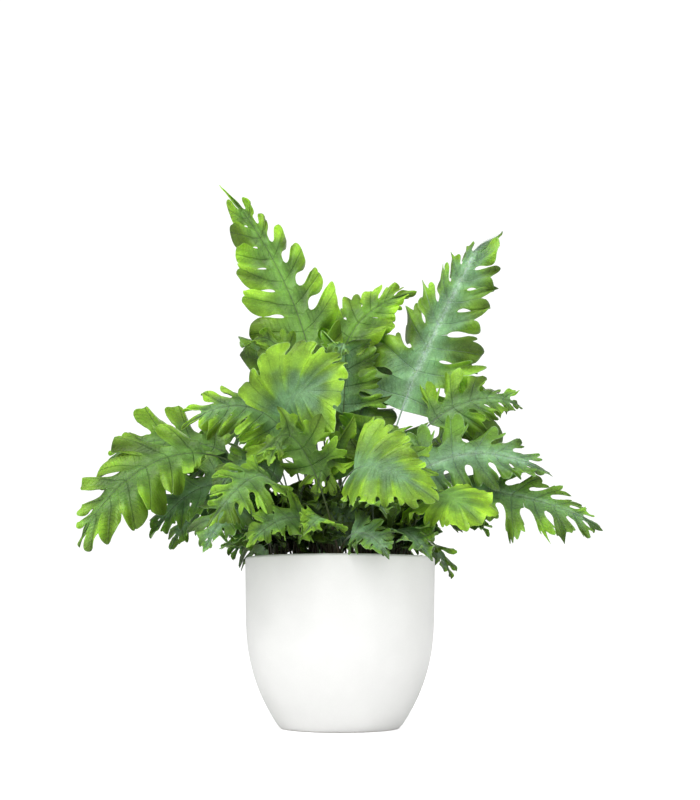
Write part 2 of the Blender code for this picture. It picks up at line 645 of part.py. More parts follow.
def tube(name, line, radii, sides):
    """A closed tube round a line of points, in millimetres."""
    points, faces = [], []
    for k, (middle, radius) in enumerate(zip(line, radii)):
        way = unit(line[min(k + 1, len(line) - 1)] - line[max(k - 1, 0)])
        side = unit(np.cross(way, UP if abs(way[2]) < 0.9 else np.array([1.0, 0.0, 0.0])))
        over = np.cross(side, way)
        for j in range(sides):
            angle = 2 * math.pi * j / sides
            points.append(middle + radius * (math.cos(angle) * side + math.sin(angle) * over))
    for k in range(len(line) - 1):
        for j in range(sides):
            a, b = k * sides + j, k * sides + (j + 1) % sides
            faces.append((a, a + sides, b + sides, b))
    faces += [tuple(range(sides)), tuple(range(len(points) - 1, len(points) - sides - 1, -1))]
    obj = add_object(name, points, faces, None)
    bm = bmesh.new()
    bm.from_mesh(obj.data)
    bmesh.ops.recalc_face_normals(bm, faces=bm.faces)
    bm.to_mesh(obj.data)
    bm.free()
    return obj


def arm_tube(arm, extra):
    """One arm of the rhizome, made thicker by extra."""
    alongs = [ARM_LENGTH * k / ARM_STEPS for k in range(ARM_STEPS + 1)]
    line = [arm_place(arm, a)[0] for a in alongs]
    radii = [arm_radius(a) + extra for a in alongs]
    end, way = arm_place(arm, ARM_LENGTH)
    line.append(end + way * (ARM_END + extra))
    radii.append(0.5 * ARM_THIN_RADIUS + extra)
    return tube(f"arm_{arm}", line, radii, ARM_SIDES)


def socket_cutter(frond, turn):
    """A plain round hole for a stalk, along the way that the stalk leaves."""
    foot, rise, _, _ = rib_curve(frond)
    way = turn @ unit(rise - foot)
    return tube("socket", [foot - way * GAP, foot + way * SOCKET_CUT], [SOCKET_RADIUS] * 2, SOCKET_SIDES)


def apply_boolean(obj, others, operation):
    """Joins others to obj, or cuts them from it, in one Boolean on a collection, and removes them."""
    folder = bpy.data.collections.new("tools")
    bpy.context.scene.collection.children.link(folder)
    for other in others:
        bpy.context.scene.collection.objects.unlink(other)
        folder.objects.link(other)
    join = obj.modifiers.new(operation.title(), "BOOLEAN")
    join.operation = operation
    join.operand_type = "COLLECTION"
    join.collection = folder
    bpy.context.view_layer.objects.active = obj
    bpy.ops.object.modifier_apply(modifier=join.name)
    for other in others:
        bpy.data.objects.remove(other)
    bpy.data.collections.remove(folder)


def make_rhizome(settled):
    """The creeping rhizome: its arms grown together in the middle, with a socket for each stalk."""
    rhizome = arm_tube(0, 0.0)
    rhizome.name = rhizome.data.name = "rhizome"
    rhizome.data.materials.append(material("rhizome", RUSTY_FUR, 0.9))
    apply_boolean(rhizome, [arm_tube(arm, 0.0) for arm in range(1, ARM_COUNT)], "UNION")
    apply_boolean(rhizome, [socket_cutter(frond, turn) for frond, turn in settled], "DIFFERENCE")


def clear_scene():
    for obj in list(bpy.data.objects):
        bpy.data.objects.remove(obj)


def main():
    clear_scene()
    make_pot()
    soil = make_soil()
    grown, settled = [], []
    for fronds, turns in ((FRONT_FRONDS, FRONT_TURNS), (tier_fronds(), TIER_TURNS)):
        for frond in fronds:
            sheet, turn = settle(frond, turns, grown)
            make_frond(frond, sheet)
            settled.append((frond, turn))
    make_rhizome(settled)
    apply_boolean(soil, [arm_tube(arm, GAP) for arm in range(ARM_COUNT)], "DIFFERENCE")


main()
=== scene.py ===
"""The looks of a potted blue star fern: crested waxy blades, glaze, soil and the stem's fur.

Metres, +Z up. The origin is the centre of the pot's foot, -Y is towards the viewer and +X is to the
viewer's right. Sizes of the plant are in millimetres, as a grower would give them.
"""

import math
from functools import lru_cache
from typing import NamedTuple

import bmesh
import bpy
import numpy as np
from bpy.props import FloatProperty, FloatVectorProperty, IntProperty, PointerProperty
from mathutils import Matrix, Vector


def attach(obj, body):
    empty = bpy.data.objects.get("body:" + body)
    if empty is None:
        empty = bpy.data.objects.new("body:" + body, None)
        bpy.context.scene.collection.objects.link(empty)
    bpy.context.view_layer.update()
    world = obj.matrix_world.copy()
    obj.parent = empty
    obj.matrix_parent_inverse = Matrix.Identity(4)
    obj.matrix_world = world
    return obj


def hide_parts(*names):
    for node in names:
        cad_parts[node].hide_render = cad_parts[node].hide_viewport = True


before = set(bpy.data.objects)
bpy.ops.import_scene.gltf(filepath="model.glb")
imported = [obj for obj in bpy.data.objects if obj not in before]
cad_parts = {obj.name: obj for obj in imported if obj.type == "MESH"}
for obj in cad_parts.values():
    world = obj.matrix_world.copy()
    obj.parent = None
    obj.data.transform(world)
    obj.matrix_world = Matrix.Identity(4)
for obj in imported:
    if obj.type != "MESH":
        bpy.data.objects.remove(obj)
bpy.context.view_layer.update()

bl_info = {
    "name": "Potted blue star fern",
    "version": (1, 0, 0),
    "blender": (4, 5, 0),
    "location": "3D View > Sidebar > Fern",
    "description": "Builds the finished blades, pot, soil and creeping stem of a blue star fern",
    "category": "Add Mesh",
}

MM = 0.001
UP = np.array([0.0, 0.0, 1.0])

# The pot, in millimetres
POT_HEIGHT = 123.0
POT_MOUTH_RADIUS = 70.0
POT_SHOULDER = (68.8, 72.0)  # where the wall's curve ends, radius and height
POT_FOOT_RADIUS = 43.5
POT_FOOT_PULL = (56.0, 17.0)  # the points that pull the curve
POT_SHOULDER_PULL = (67.6, 40.0)
POT_WALL = 4.6
POT_FLOOR = 6.0
POT_LIP_RADIUS = 2.2  # of the lip's round edge
FOOT_RING = ((34.0, 1.4), (36.0, 0.3), (37.5, 0.0), (41.8, 0.0))  # the flat ring that it stands on
FOOT_EDGE = ((42.9, 0.25), (43.6, 0.9))

# The potting soil and the creeping stem, in millimetres
SOIL_EDGE_HEIGHT = 111.5
SOIL_CROWN = 3.5  # how much higher its middle is
SOIL_LUMP = 0.9
ARM_COUNT = 6
ARM_FIRST_AZIMUTH = 30.0
ARM_START = 3.0  # from the pot's middle
ARM_LENGTH = 49.0
ARM_END = 3.2  # length of its round end
ARM_THICK_RADIUS = 6.4
ARM_THIN_RADIUS = 5.2
ARM_CURVE = 0.35  # radians
ARM_LIFT = 1.6  # of its middle line over the soil
SOCKETS_PER_ARM = 9
SOCKET_FIRST = 5.2  # from the arm's start
SOCKET_SPACING = 5.4
SOCKET_SIDE = 1.2  # from the arm's back to the left or the right
SOCKET_DEPTH = 3.4

# The fronds as their solids have them. Lengths are in millimetres, angles and turns in degrees, and
# the rest are shares.
STALK_HALF = 1.1  # half a stalk's width
STALK_RISE = 0.46  # how far up a stalk starts, against the way from its foot to the bend
STALK_LEAN = 0.16  # how far it starts towards the bend
RIB_END_HALF = 0.35
RIB_STEPS = 120
LOBE_SHOULDER = 0.36  # of a lobe's free length, below its round end
LOBE_SINUS = 0.35  # of a lobe's free length, where the gap opens
LOBE_VARIATION = 0.10
ANGLE_VARIATION = 4
LIFT_VARIATION = 0.5
DROOP_VARIATION = 0.6
LOBE_TWIST = 0.22
ROW_CROWDING = 0.12  # how much closer together the upper lobes are
LONGEST_AT = 0.4  # where the envelope has its middle value
CORNER = 0.42  # where the end of a solid's lobe has its corners, between its middle and its edges
NUDGES = 700  # small turns that a frond may have been given to clear its neighbours
NUDGE_STEPS = (0.8191725, 0.6710436, 0.5497005)  # they spread the turns about x, y and z
MOST_MISS = 1.0  # mean distance of a solid's corners from where they are expected, mm
FRONT_TURNS = (24, 9, 16)  # the largest about x, y and z of a frond that the view shows
TIER_TURNS = (22, 22, 40)  # and of one in a tier

# The finish of blades and ribs
MERGE = 0.03  # points of a blade that are nearer to each other are one, mm
ROWS_TO_COLUMNS = 0.85  # rows of faces along a lobe for each column across it
EDGE_CROWDING = 0.55  # how much closer together the columns are at a lobe's edges
VEIN_SPACING = 3.4  # between the lines across a lobe, mm
SHARP = {"blade": 62, "pot": 45, "stem": 50}  # angle from which an edge is sharp, degrees
RIB_SIDES = (8, 5)  # of the round rib on a frond and on a young one
RIB_REACH = 0.985  # share of the blade's length that it runs up
RIB_SLIM = 0.7  # a finished rib's thickness against the solid's
RIB_SUNK = 0.45  # how much thinner it gets where the lobes begin
FAN_SUNK = 0.9  # the same on a fan
SINKING = 0.12  # share of the rib on which it gets thinner
FAN_PLAIN = 1.5  # how much less a fan shows of its rib and veins, mm
RIB_FADE = 3.0  # the same at the end of a blade's end lobe, mm
FAN_JOINED = 0.5  # blades with lobes that are joined further than this are fans
FAN_EVEN = 0.85  # how alike a fan's lobes rise
FAN_ROUND = 0.11  # how much rounder the end of a fan's end lobe is

# The small fronds between the stalks, in millimetres
YOUNG_SEED = 23
YOUNG_REACH = (10, 30)
YOUNG_HEIGHT = (138, 182)
YOUNG_ARCH = (8, 18)
YOUNG_WIDTH = (15, 22)
YOUNG_PLACES = (0.51, 7.5)  # the one nearest the middle and how far they reach out, in sockets
YOUNG_STALK = 0.36  # share of the rib below the lobes
YOUNG_FINE = 8  # columns of faces across a lobe
YOUNG_LOWEST = (126, 134)  # of a tip inside and outside LIP_REACH
LIP_REACH = 50
GOLDEN = 0.618  # spreads numbers evenly, as a share of a whole turn

# The finish of the pot, the soil and the creeping stem, in millimetres
LIP_STEPS = 12
STRAIGHT_STEPS = 6
WALL_STEPS = 20
SOIL_SEED = 5
SOIL_GAP = 0.4  # between the soil and the pot's wall
SOIL_HEIGHTS = (8.0, 20.0, 60.0, SOIL_EDGE_HEIGHT)  # of the rings of its side
SOIL_FOOT_INSET = 8
SOIL_RINGS = 34
SOIL_SIDES = 120
CRUMBS = 0.35  # how uneven the soil is from point to point
CHIP_REACH = 58
CHIP_SIZE = (0.8, 3.4)
FUR_SEED = 11
ARM_STEPS = 30
ARM_SIDES = 16
ARM_END_STEPS = 6
SKIN_DEPTH = 0.15  # of the stem under its scales
SCALE_LENGTH = (2.0, 4.2)
SCALE_WIDTH = (0.3, 0.55)

WHITE = (1.0, 1.0, 1.0, 1.0)
BARE_CLAY = (0.8, 0.78, 0.74, 1.0)

# The stage, in metres
CAMERA_PLACE = (0.0073, -1.0, 0.0808)
FLOOR_RADIUS = 9.0
FLOOR_SIDES = 96
BACKDROP = 1.1
KEY_FROM = (-0.6, -0.5, 1.3)
LAMPS = {  # each lamp's place, its aim and its size
    "front": ((-0.35, -1.5, 0.8), (0, 0, 0.2), 1.4),
    "fill": ((1.4, -0.7, 0.45), (0, 0, 0.12), 0.9),
    "back": ((0.5, 1.6, 0.9), (0, 0, 0.15), 1.2),
}


class Blade(NamedTuple):
    """What one kind of blade is like."""

    spread: tuple  # angle of the lowest and of the highest lobes to the rib, degrees
    joined: float  # share of a lobe's length that is one with its neighbours
    tip: float  # share of the blade's length that the end lobe takes
    envelope: tuple  # lobe length at the foot, the middle and the top of the blade
    hook: float  # how far lobes bend towards the tip
    lift: float  # how steeply lobes rise from the rib
    droop: float  # how far their ends hang
    gap: float  # share of the room between neighbours that is left open
    flare: float  # how much lobes widen towards their ends


BLADES = {
    "lance": Blade((82, 44), 0.26, 0.15, (0.86, 1.0, 0.36), 0.30, 0.30, 0.30, 0.30, 0.20),
    "broad": Blade((88, 46), 0.28, 0.16, (1.0, 0.58, 0.36), 0.30, 0.22, 0.30, 0.30, 0.16),
    "ovate": Blade((92, 40), 0.32, 0.22, (1.0, 0.90, 0.50), 0.24, 0.24, 0.32, 0.30, 0.14),
    "fan": Blade((124, 30), 0.78, 0.46, (0.86, 1.0, 0.96), 0.10, 0.16, 0.34, 0.08, 0.04),
}


class Frond(NamedTuple):
    """One frond. Places are in millimetres."""

    name: str
    arm: int  # arm of the rhizome that it grows from
    place: float  # socket on that arm, 0 nearest the middle; a young frond may stand between two
    bend: tuple  # the point that pulls the rib over
    tip: tuple  # the end of the rib
    face: tuple  # the way that the blade's upper side looks
    stalk: float  # share of the rib below the lobes
    width: float  # length of the longest lobes
    pairs: int  # pairs of lobes
    kind: str  # a key of BLADES
    tone: float  # 0 yellow-green, 1 blue-green
    seed: int  # of its own irregularities


# Fronds that the view from the front shows, with a Frond's values in order
FRONT_ROWS = (
    ("tall_right", 0, 5, (97, 30, 332), (116, 44, 391), (-0.25, -1, 0.25),
     0.42, 72, 7, "broad", 0.85, 2),
    ("tall_left", 2, 0, (-22, 40, 328), (-97, 62, 430), (0.15, -1, 0.1),
     0.44, 38, 7, "lance", 0.2, 1),
    ("fan_left", 3, 2, (-74, -52, 248), (6, -66, 236), (0.1, -1, 0.3),
     0.64, 43, 5, "fan", 0.1, 4),
    ("fan_right", 4, 3, (6, -96, 206), (72, -104, 151), (0.1, -1, 0.4),
     0.5, 42, 5, "fan", 0.3, 11),
    ("far_left", 3, 4, (-139, -34, 232), (-182, -66, 128), (-0.35, -0.8, 0.5),
     0.48, 42, 6, "lance", 0.25, 6),
    ("right_blue", 5, 3, (93, -18, 218), (154, -34, 181), (0.05, -0.85, 0.6),
     0.44, 46, 5, "ovate", 1, 12),
    ("far_right", 5, 1, (128, -34, 176), (188, -46, 138), (0.1, -0.85, 0.6),
     0.46, 40, 6, "lance", 0.65, 13),
    ("right_front", 5, 8, (66, -70, 182), (98, -90, 142), (0.2, -0.9, 0.6),
     0.52, 29, 4, "fan", 0, 14),
    ("left_front", 3, 6, (-50, -72, 204), (-90, -92, 138), (-0.1, -0.9, 0.5),
     0.44, 36, 5, "ovate", 0.25, 9),
    ("mid_back", 1, 1, (-22, 52, 322), (58, 62, 344), (-0.1, -1, 0.5),
     0.62, 40, 5, "ovate", 0.05, 3),
    ("rim_right", 5, 5, (40, -84, 150), (54, -108, 122), (0.1, -0.9, 0.6),
     0.38, 25, 4, "ovate", 0.8, 26),
    ("rim_centre", 4, 6, (-10, -90, 154), (-24, -106, 124), (0, -1, 0.5),
     0.36, 20, 4, "ovate", 0.5, 24),
    ("rim_centre_right", 4, 7, (12, -90, 152), (20, -106, 124), (0, -1, 0.5),
     0.36, 20, 4, "ovate", 0.75, 25),
    ("rim_left", 3, 7, (-76, -50, 176), (-93, -76, 122), (-0.2, -0.8, 0.6),
     0.36, 30, 4, "lance", 0.8, 10),
    ("rim_mid_left", 4, 5, (-38, -84, 160), (-60, -102, 122), (-0.1, -0.9, 0.5),
     0.36, 26, 4, "ovate", 0.6, 23),
    ("rim_far_right", 5, 6, (76, -42, 170), (100, -56, 124), (0.2, -0.8, 0.7),
     0.38, 32, 4, "broad", 0.85, 27),
    ("upper_left", 3, 1, (-58, -24, 262), (-116, -36, 214), (0, -0.85, 0.7),
     0.46, 40, 6, "ovate", 0.3, 5),
    ("left_rear", 2, 4, (-145, 14, 234), (-180, 6, 190), (-0.1, -0.8, 0.6),
     0.52, 36, 5, "lance", 0.1, 7),
    ("left_low", 3, 5, (-106, -14, 202), (-138, -24, 132), (-0.3, -0.8, 0.6),
     0.4, 36, 5, "ovate", 0.8, 8),
    ("right_mid", 0, 4, (104, 16, 260), (144, 26, 232), (0, -0.8, 0.6),
     0.6, 32, 5, "lance", 0.25, 19),
    ("mid_centre", 4, 1, (-7, -30, 236), (-17, -58, 162), (0, -0.95, 0.3),
     0.44, 34, 4, "ovate", 0.5, 16),
    ("high_centre", 1, 0, (9, 0, 322), (-4, -20, 262), (0, -1, 0.5),
     0.58, 34, 5, "ovate", 0.85, 17),
    ("high_left", 2, 1, (-48, 18, 316), (-72, 8, 284), (0.1, -1, 0.5),
     0.58, 30, 4, "lance", 0.4, 20),
    ("dark_centre", 0, 0, (34, -8, 246), (30, -40, 188), (0, -1, 0.4),
     0.5, 34, 4, "ovate", 0.5, 21),
    ("mid_left", 3, 3, (-64, -36, 214), (-92, -58, 158), (-0.2, -0.9, 0.6),
     0.46, 28, 4, "ovate", 0.7, 18),
    ("right_low", 0, 7, (88, -14, 190), (108, -36, 140), (0.1, -0.8, 0.7),
     0.42, 32, 4, "ovate", 0.8, 15),
    ("left_dark", 2, 5, (-96, -2, 216), (-134, -4, 172), (-0.1, -0.8, 0.6),
     0.46, 32, 4, "lance", 0.9, 29),
    ("rim_far_left", 2, 6, (-106, 20, 190), (-128, 10, 128), (-0.2, -0.8, 0.6),
     0.4, 34, 5, "lance", 0.7, 22),
)
FRONT_FRONDS = [Frond(*row) for row in FRONT_ROWS]


class Cut(NamedTuple):
    """The lobes of a frond that stands out, from the lowest to the highest."""

    left: tuple  # their lengths, millimetres
    left_angles: tuple  # to the rib, degrees
    right: tuple
    right_angles: tuple


CUTS = {
    "tall_right": Cut(
        (60, 40, 36, 34, 29, 24, 17), (102, 80, 66, 58, 54, 52, 46),
        (74, 52, 40, 38, 35, 32, 24), (98, 84, 75, 68, 66, 62, 56),
    ),
    "tall_left": Cut(
        (36, 42, 43, 38, 29, 22, 15), (86, 74, 68, 65, 62, 58, 50),
        (36, 42, 41, 36, 30, 23, 15), (66, 60, 56, 50, 46, 42, 38),
    ),
    "fan_left": Cut(
        (36, 44, 44, 40, 36), (60, 54, 47, 40, 34),
        (20, 29, 35, 38, 38), (148, 126, 104, 82, 60),
    ),
    "fan_right": Cut(
        (42, 37, 28, 26, 24), (86, 68, 54, 44, 34),
        (25, 31, 31, 27, 24), (118, 94, 74, 57, 42),
    ),
    "far_left": Cut(
        (26, 37, 42, 43, 37, 25), (86, 79, 71, 62, 52, 42),
        (32, 44, 42, 35, 26, 18), (72, 64, 60, 55, 50, 44),
    ),
    "right_blue": Cut(
        (34, 33, 31, 28, 19), (98, 84, 70, 58, 46),
        (27, 33, 34, 28, 19), (100, 86, 72, 60, 48),
    ),
    "far_right": Cut(
        (20, 27, 29, 27, 22, 15), (70, 62, 56, 51, 46, 40),
        (26, 37, 42, 38, 30, 20), (98, 89, 80, 69, 58, 46),
    ),
    "left_front": Cut(
        (27, 33, 34, 28, 19), (92, 82, 72, 60, 48),
        (22, 25, 23, 19, 14), (80, 70, 62, 54, 46),
    ),
    "mid_back": Cut(
        (28, 35, 36, 30, 21), (78, 66, 58, 50, 42),
        (24, 30, 30, 24, 17), (84, 72, 62, 52, 44),
    ),
}


class Tier(NamedTuple):
    """Fronds that fan out at one height."""

    name: str
    count: int
    headings: tuple  # from the first to the last, degrees
    reach: float  # how far out the tips are
    height: float  # of the tips
    arch: float  # how far the ribs arch over their tips
    upright: float  # how steeply the blades' upper sides look up
    outward: float  # how far they look out, which is negative where they look in
    width: float
    pairs: int
    kind: str
    inner: bool  # whether they take the sockets nearest the middle first
    stalk: float  # share of the ribs below the lobes


TIERS = (
    Tier("back_high", 4, (42, 146), 104, 286, 44, 0.5, -1.0, 32, 4, "lance", True, 0.5),
    Tier("back_mid", 5, (6, 166), 138, 208, 66, 1.0, 0.35, 34, 4, "ovate", False, 0.5),
    Tier("back_low", 5, (10, 160), 106, 126, 54, 1.0, 0.35, 29, 4, "ovate", False, 0.5),
    Tier("back_rim", 5, (15, 165), 90, 130, 26, 1.0, 0.3, 27, 3, "ovate", False, 0.5),
    Tier("front_mid", 2, (210, 330), 70, 178, 44, 0.7, 1.0, 26, 4, "ovate", False, 0.5),
    Tier("front_rim", 4, (205, 300), 92, 132, 26, 0.8, 1.0, 21, 3, "ovate", False, 0.5),
)
TIER_BEND = 0.62  # how far out the ribs are pulled over, against their tips
TIER_VARIATION = 0.09
TIER_SEED = 31  # of the first one's irregularities


class Margin(NamedTuple):
    """How the edge of a blade is cut and waved."""

    teeth: float  # teeth round a lobe's end
    depth: float  # how deep they go, as a share of the lobe's free length
    point: float  # 0 round scallops, 1 pointed teeth
    nicks: float  # nicks along a lobe's sides
    nick: float  # how deep they go, as a share of the lobe's width
    open: float  # how wide the gaps are between lobes, against the plain blade's
    flare: float  # how much wider the lobes get towards their ends
    blunt: float  # 1 for round ends, less for square ones
    ruffle: float  # height of the waves at the edge, mm
    waves: float  # waves to a lobe
    crisp: float  # height of the small crimps in them, mm
    curl: float  # how far a lobe's end curls, mm
    pleat: float  # depth of the fold along a lobe's vein, mm


MARGINS = {
    "spoon": Margin(1.2, 0.14, 0.0, 1, 0.05, 1.2, 0.22, 0.9, 4.8, 0.9, 0.8, 9.0, 3.8),
    "finger": Margin(1.6, 0.18, 0.0, 1, 0.06, 1.2, 0.18, 0.8, 4.2, 0.9, 0.8, 7.0, 3.2),
    "crest": Margin(3.2, 0.42, 0.2, 2, 0.14, 1.5, 0.36, 0.75, 5.0, 1.15, 1.4, 9.0, 3.2),
    "oak": Margin(3, 0.34, 0.05, 2, 0.10, 1.3, 0.28, 0.8, 4.4, 0.95, 1.0, 8.0, 3.0),
    "scallop": Margin(2, 0.7, 0.0, 1, 0.0, 0.6, 0.02, 0.4, 3.6, 0.6, 1.1, 2.4, 1.8),
    "tooth": Margin(3.6, 0.30, 0.6, 3, 0.12, 1.3, 0.28, 0.8, 4.2, 1.0, 1.2, 7.0, 3.0),
    "tall": Margin(2.7, 0.4, 0.0, 1, 0.1, 1.25, 0.32, 0.75, 5.2, 1.0, 1.1, 9.0, 3.8),
    "leafy": Margin(3, 0.26, 0.5, 2, 0.08, 0.75, 0.26, 0.6, 4.2, 0.9, 1.0, 5.0, 2.6),
}

# How lobes are cut
SCALLOP = 0.55  # the less, the fuller round teeth are
BY_SIZE = 0.8  # how closely teeth and waves follow a lobe's size
TEETH_VARIATION = 0.8
TEETH_ASIDE = 0.12  # how far a lobe's teeth are to one side
NOTCH_VARIATION = 0.4
GAP_VARIATION = 0.25
FLARE_VARIATION = 0.5
GAP_LIMITS = (-0.2, 0.68)  # share of the room between neighbours that is left open
LOBE_WIDEST = 1.14  # share of that room that a lobe takes at most
NECK = 0.42  # how much narrower the lowest lobes are below
NECK_END = 0.8  # share of their length where that ends
TAIL_TAPER = 0.75  # how pointed a plain end lobe is

# How lobes are waved and bent. Heights are for lobes of a mean length.
MEAN_LOBE = 36  # mm
SMALL_WAVES = (0.45, 2.3)  # height and number of the small waves against the large ones
CRIMPS = 4.1  # crimps to a lobe
CALM = 0.35  # share of the waves' height where lobes are joined and in their middle
GROWTH = 1.6  # how late along a lobe the waves grow
LOBE_RISE = 10.5  # how far some ends are up or down, mm
LOBE_BEND = 4.0  # how far they are to one side, mm
SWAY = 0.7  # how much the waves push sideways, against their height
TWIST = 2.0  # how much more lobes turn about their middle line than the solid's
CUP = 0.34  # how far their sides hang
TIP_SWELL = 0.5  # how strongly the end lobe is waved
# The painted light and shade that the waves and folds give the blades' colour
RELIEF = 6.0  # height of the waves that is painted in full light, and the depth that is painted in full shade, mm
SHADED_EDGE = 2.2  # how much lighter a lobe's upper side and darker its lower side are painted, as light and shade, mm


class Dress(NamedTuple):
    """The finish of one frond."""

    margin: str  # a key of MARGINS
    bloom: float  # how waxy and blue the middle is
    fresh: float  # how far the yellow-green of young growth reaches in from the edge
    light: float  # lightness of the whole blade: partly its own tone, partly painted shade on fronds deep inside or under others
    pale: float  # 1 for a whitish rib, 0 for a dark one
    fine: int  # columns of faces across a lobe


# A light below 1 is partly painted shade, on fronds deep inside or under others
DRESSES = {
    "tall_right": Dress("tall", 0.9, 0.55, 0.96, 1.0, 26),
    "tall_left": Dress("spoon", 0.1, 0.8, 0.97, 0.0, 26),
    "fan_left": Dress("scallop", 0.9, 0.85, 0.96, 0.15, 26),
    "fan_right": Dress("scallop", 0.8, 0.85, 0.94, 0.2, 26),
    "far_left": Dress("finger", 0.15, 0.6, 0.9, 0.0, 24),
    "right_blue": Dress("oak", 1.0, 0.1, 0.9, 0.5, 24),
    "far_right": Dress("tooth", 0.45, 0.35, 0.78, 0.3, 22),
    "left_front": Dress("crest", 0.25, 0.6, 0.92, 0.2, 22),
    "mid_back": Dress("oak", 0.0, 0.95, 1.06, 0.0, 22),
    "right_front": Dress("scallop", 0.1, 1.0, 1.05, 0.1, 22),
    "upper_left": Dress("finger", 0.4, 0.9, 1.0, 0.15, 22),
    "left_rear": Dress("finger", 0.1, 0.7, 0.9, 0.1, 18),
    "rim_centre": Dress("leafy", 0.3, 0.7, 0.95, 0.2, 18),
    "rim_left": Dress("leafy", 0.8, 0.15, 0.88, 0.4, 18),
    "rim_mid_left": Dress("leafy", 0.3, 0.6, 0.72, 0.2, 18),
    "rim_right": Dress("leafy", 0.7, 0.3, 0.7, 0.4, 18),
    "rim_centre_right": Dress("leafy", 0.7, 0.2, 0.8, 0.4, 18),
    "left_low": Dress("leafy", 0.6, 0.2, 0.82, 0.3, 18),
    "left_dark": Dress("tooth", 0.9, 0.1, 0.66, 0.3, 18),
    "mid_left": Dress("leafy", 0.5, 0.4, 0.78, 0.2, 18),
    "right_mid": Dress("crest", 0.3, 0.6, 0.85, 0.2, 18),
    "high_centre": Dress("crest", 0.8, 0.3, 1.0, 0.0, 20),
    "high_left": Dress("oak", 0.1, 0.6, 0.7, 0.0, 18),
    "dark_centre": Dress("leafy", 0.2, 0.5, 0.78, 0.1, 18),
    "mid_centre": Dress("crest", 0.1, 0.8, 1.0, 0.0, 18),
    "front_mid_1": Dress("crest", 0.1, 0.6, 0.76, 0.0, 18),
    "front_mid_2": Dress("crest", 0.1, 0.5, 0.72, 0.1, 18),
}
PLAIN_MARGIN = Margin(1, 0.0, 0.0, 1, 0.0, 1.0, 0.0, 1.0, 0.0, 1.0, 0.0, 0.0, 0.0)

# How wide the gaps are between lobes at the right and the left of a rib, against the margin's.
# Below 0 the lobes overlap.
OPENINGS = {
    "tall_left": (1.7, 0.6),
    "tall_right": (0.75, 0.8),
    "far_left": (-0.3, -0.1),
    "mid_back": (0.2, 0.5),
    "upper_left": (1.2, 0.6),
    "far_right": (1.5, 1.25),
    "fan_left": (2.5, 2.5),
    "fan_right": (6.0, 2.0),
}

# How much longer lobes are at the right and the left of a rib than on the solid, and how much
# nearer their angle is to the rib's, in radians
GROWN = {"tall_right": (1.0, 1.2, 0.0, 0.16), "far_right": (1.12, 1.0, 0.0, 0.0)}

# Fronds over the front of the pot's lip, which the finish holds a little higher
HELD_UP = ("rim_mid", "rim_centre", "rim_right", "rim_far_right", "front_rim")
RIM_RISE = 9.0  # of their tips, mm
RIM_SHORTER = 0.88  # share that stays of their lobes' length
RIM_DROOP = 0.3  # share that stays of their lobes' droop

# How far the end lobe of a blade leans to the viewer's right and up, in millimetres, and its margin
TAILS = {"tall_right": (13.5, -4.5), "tall_left": (-3.0, -1.0)}
PLAIN_TAIL = {"teeth": 1, "depth": 0.0, "nick": 0.0, "curl": 0.0, "flare": 0.0, "ruffle": 1.5}


def dress_of(frond):
    """The frond's own finish, or one that its tone gives at the back or deep inside, darker as
    painted shade.
    """
    margin = ("oak", "leafy", "crest")[frond.seed % 3]
    if frond.name.startswith("front"):
        margin = "leafy"
    inner = Dress(margin, 0.2 + 0.6 * frond.tone, 0.75 - 0.5 * frond.tone, 0.73, 0.3, 14)
    return DRESSES.get(frond.name, inner)


def unit(vector):
    return vector / np.linalg.norm(vector)


def smooth(x):
    """Goes from 0 to 1 with level ends."""
    x = np.clip(x, 0.0, 1.0)
    return x * x * (3 - 2 * x)


def bezier(points, t):
    """Places on the curve of four points, and the directions there."""
    a, b, c, d = (np.asarray(p, float) for p in points)
    t = np.asarray(t, float)[..., None]
    place = (1 - t) ** 3 * a + 3 * (1 - t) ** 2 * t * b + 3 * (1 - t) * t**2 * c + t**3 * d
    way = 3 * (1 - t) ** 2 * (b - a) + 6 * (1 - t) * t * (c - b) + 3 * t**2 * (d - c)
    return place, way / np.linalg.norm(way, axis=-1, keepdims=True)


def level_way(heading):
    """The level direction of a heading in degrees."""
    return np.array([math.cos(math.radians(heading)), math.sin(math.radians(heading)), 0.0])


def arm_towards(heading):
    """The number of the arm nearest to a heading, before it is counted round."""
    return round((heading - ARM_FIRST_AZIMUTH) * ARM_COUNT / 360)


def soil_height(x, y):
    """The lumpy, slightly domed surface of the soil."""
    share = np.hypot(x, y) / POT_MOUTH_RADIUS
    lumps = np.sin(0.31 * x + 1.3) * np.cos(0.27 * y - 0.4) + 0.6 * np.sin(0.53 * y + 0.37 * x)
    return SOIL_EDGE_HEIGHT + SOIL_CROWN * (1 - share**2) + SOIL_LUMP * lumps * (1 - share**4)


def arm_place(arm, along):
    """A point on the middle line of an arm, and the arm's direction there."""
    azimuth = math.radians(ARM_FIRST_AZIMUTH + arm * 360 / ARM_COUNT)

    def at(distance):
        turn = azimuth + ARM_CURVE * math.sin(distance / ARM_LENGTH * 2.4 + arm)
        reach = ARM_START + distance
        x, y = reach * math.cos(turn), reach * math.sin(turn)
        return np.array([x, y, soil_height(x, y) + ARM_LIFT])

    here = at(along)
    return here, unit(at(along + 1.0) - here)


def arm_radius(along):
    swell = 1 + 0.08 * math.sin(along * 0.55)
    return (ARM_THICK_RADIUS + (ARM_THIN_RADIUS - ARM_THICK_RADIUS) * along / ARM_LENGTH) * swell


def foot_of(frond):
    """Where a frond's stalk stands in the rhizome. Sockets lie left and right of the arm's back."""
    along = SOCKET_FIRST + frond.place * SOCKET_SPACING
    middle, way = arm_place(frond.arm, along)
    side = unit(np.cross(UP, way)) * (SOCKET_SIDE if frond.place % 2 else -SOCKET_SIDE)
    top = math.sqrt(arm_radius(along) ** 2 - SOCKET_SIDE**2)
    return middle + side + UP * (top - SOCKET_DEPTH)


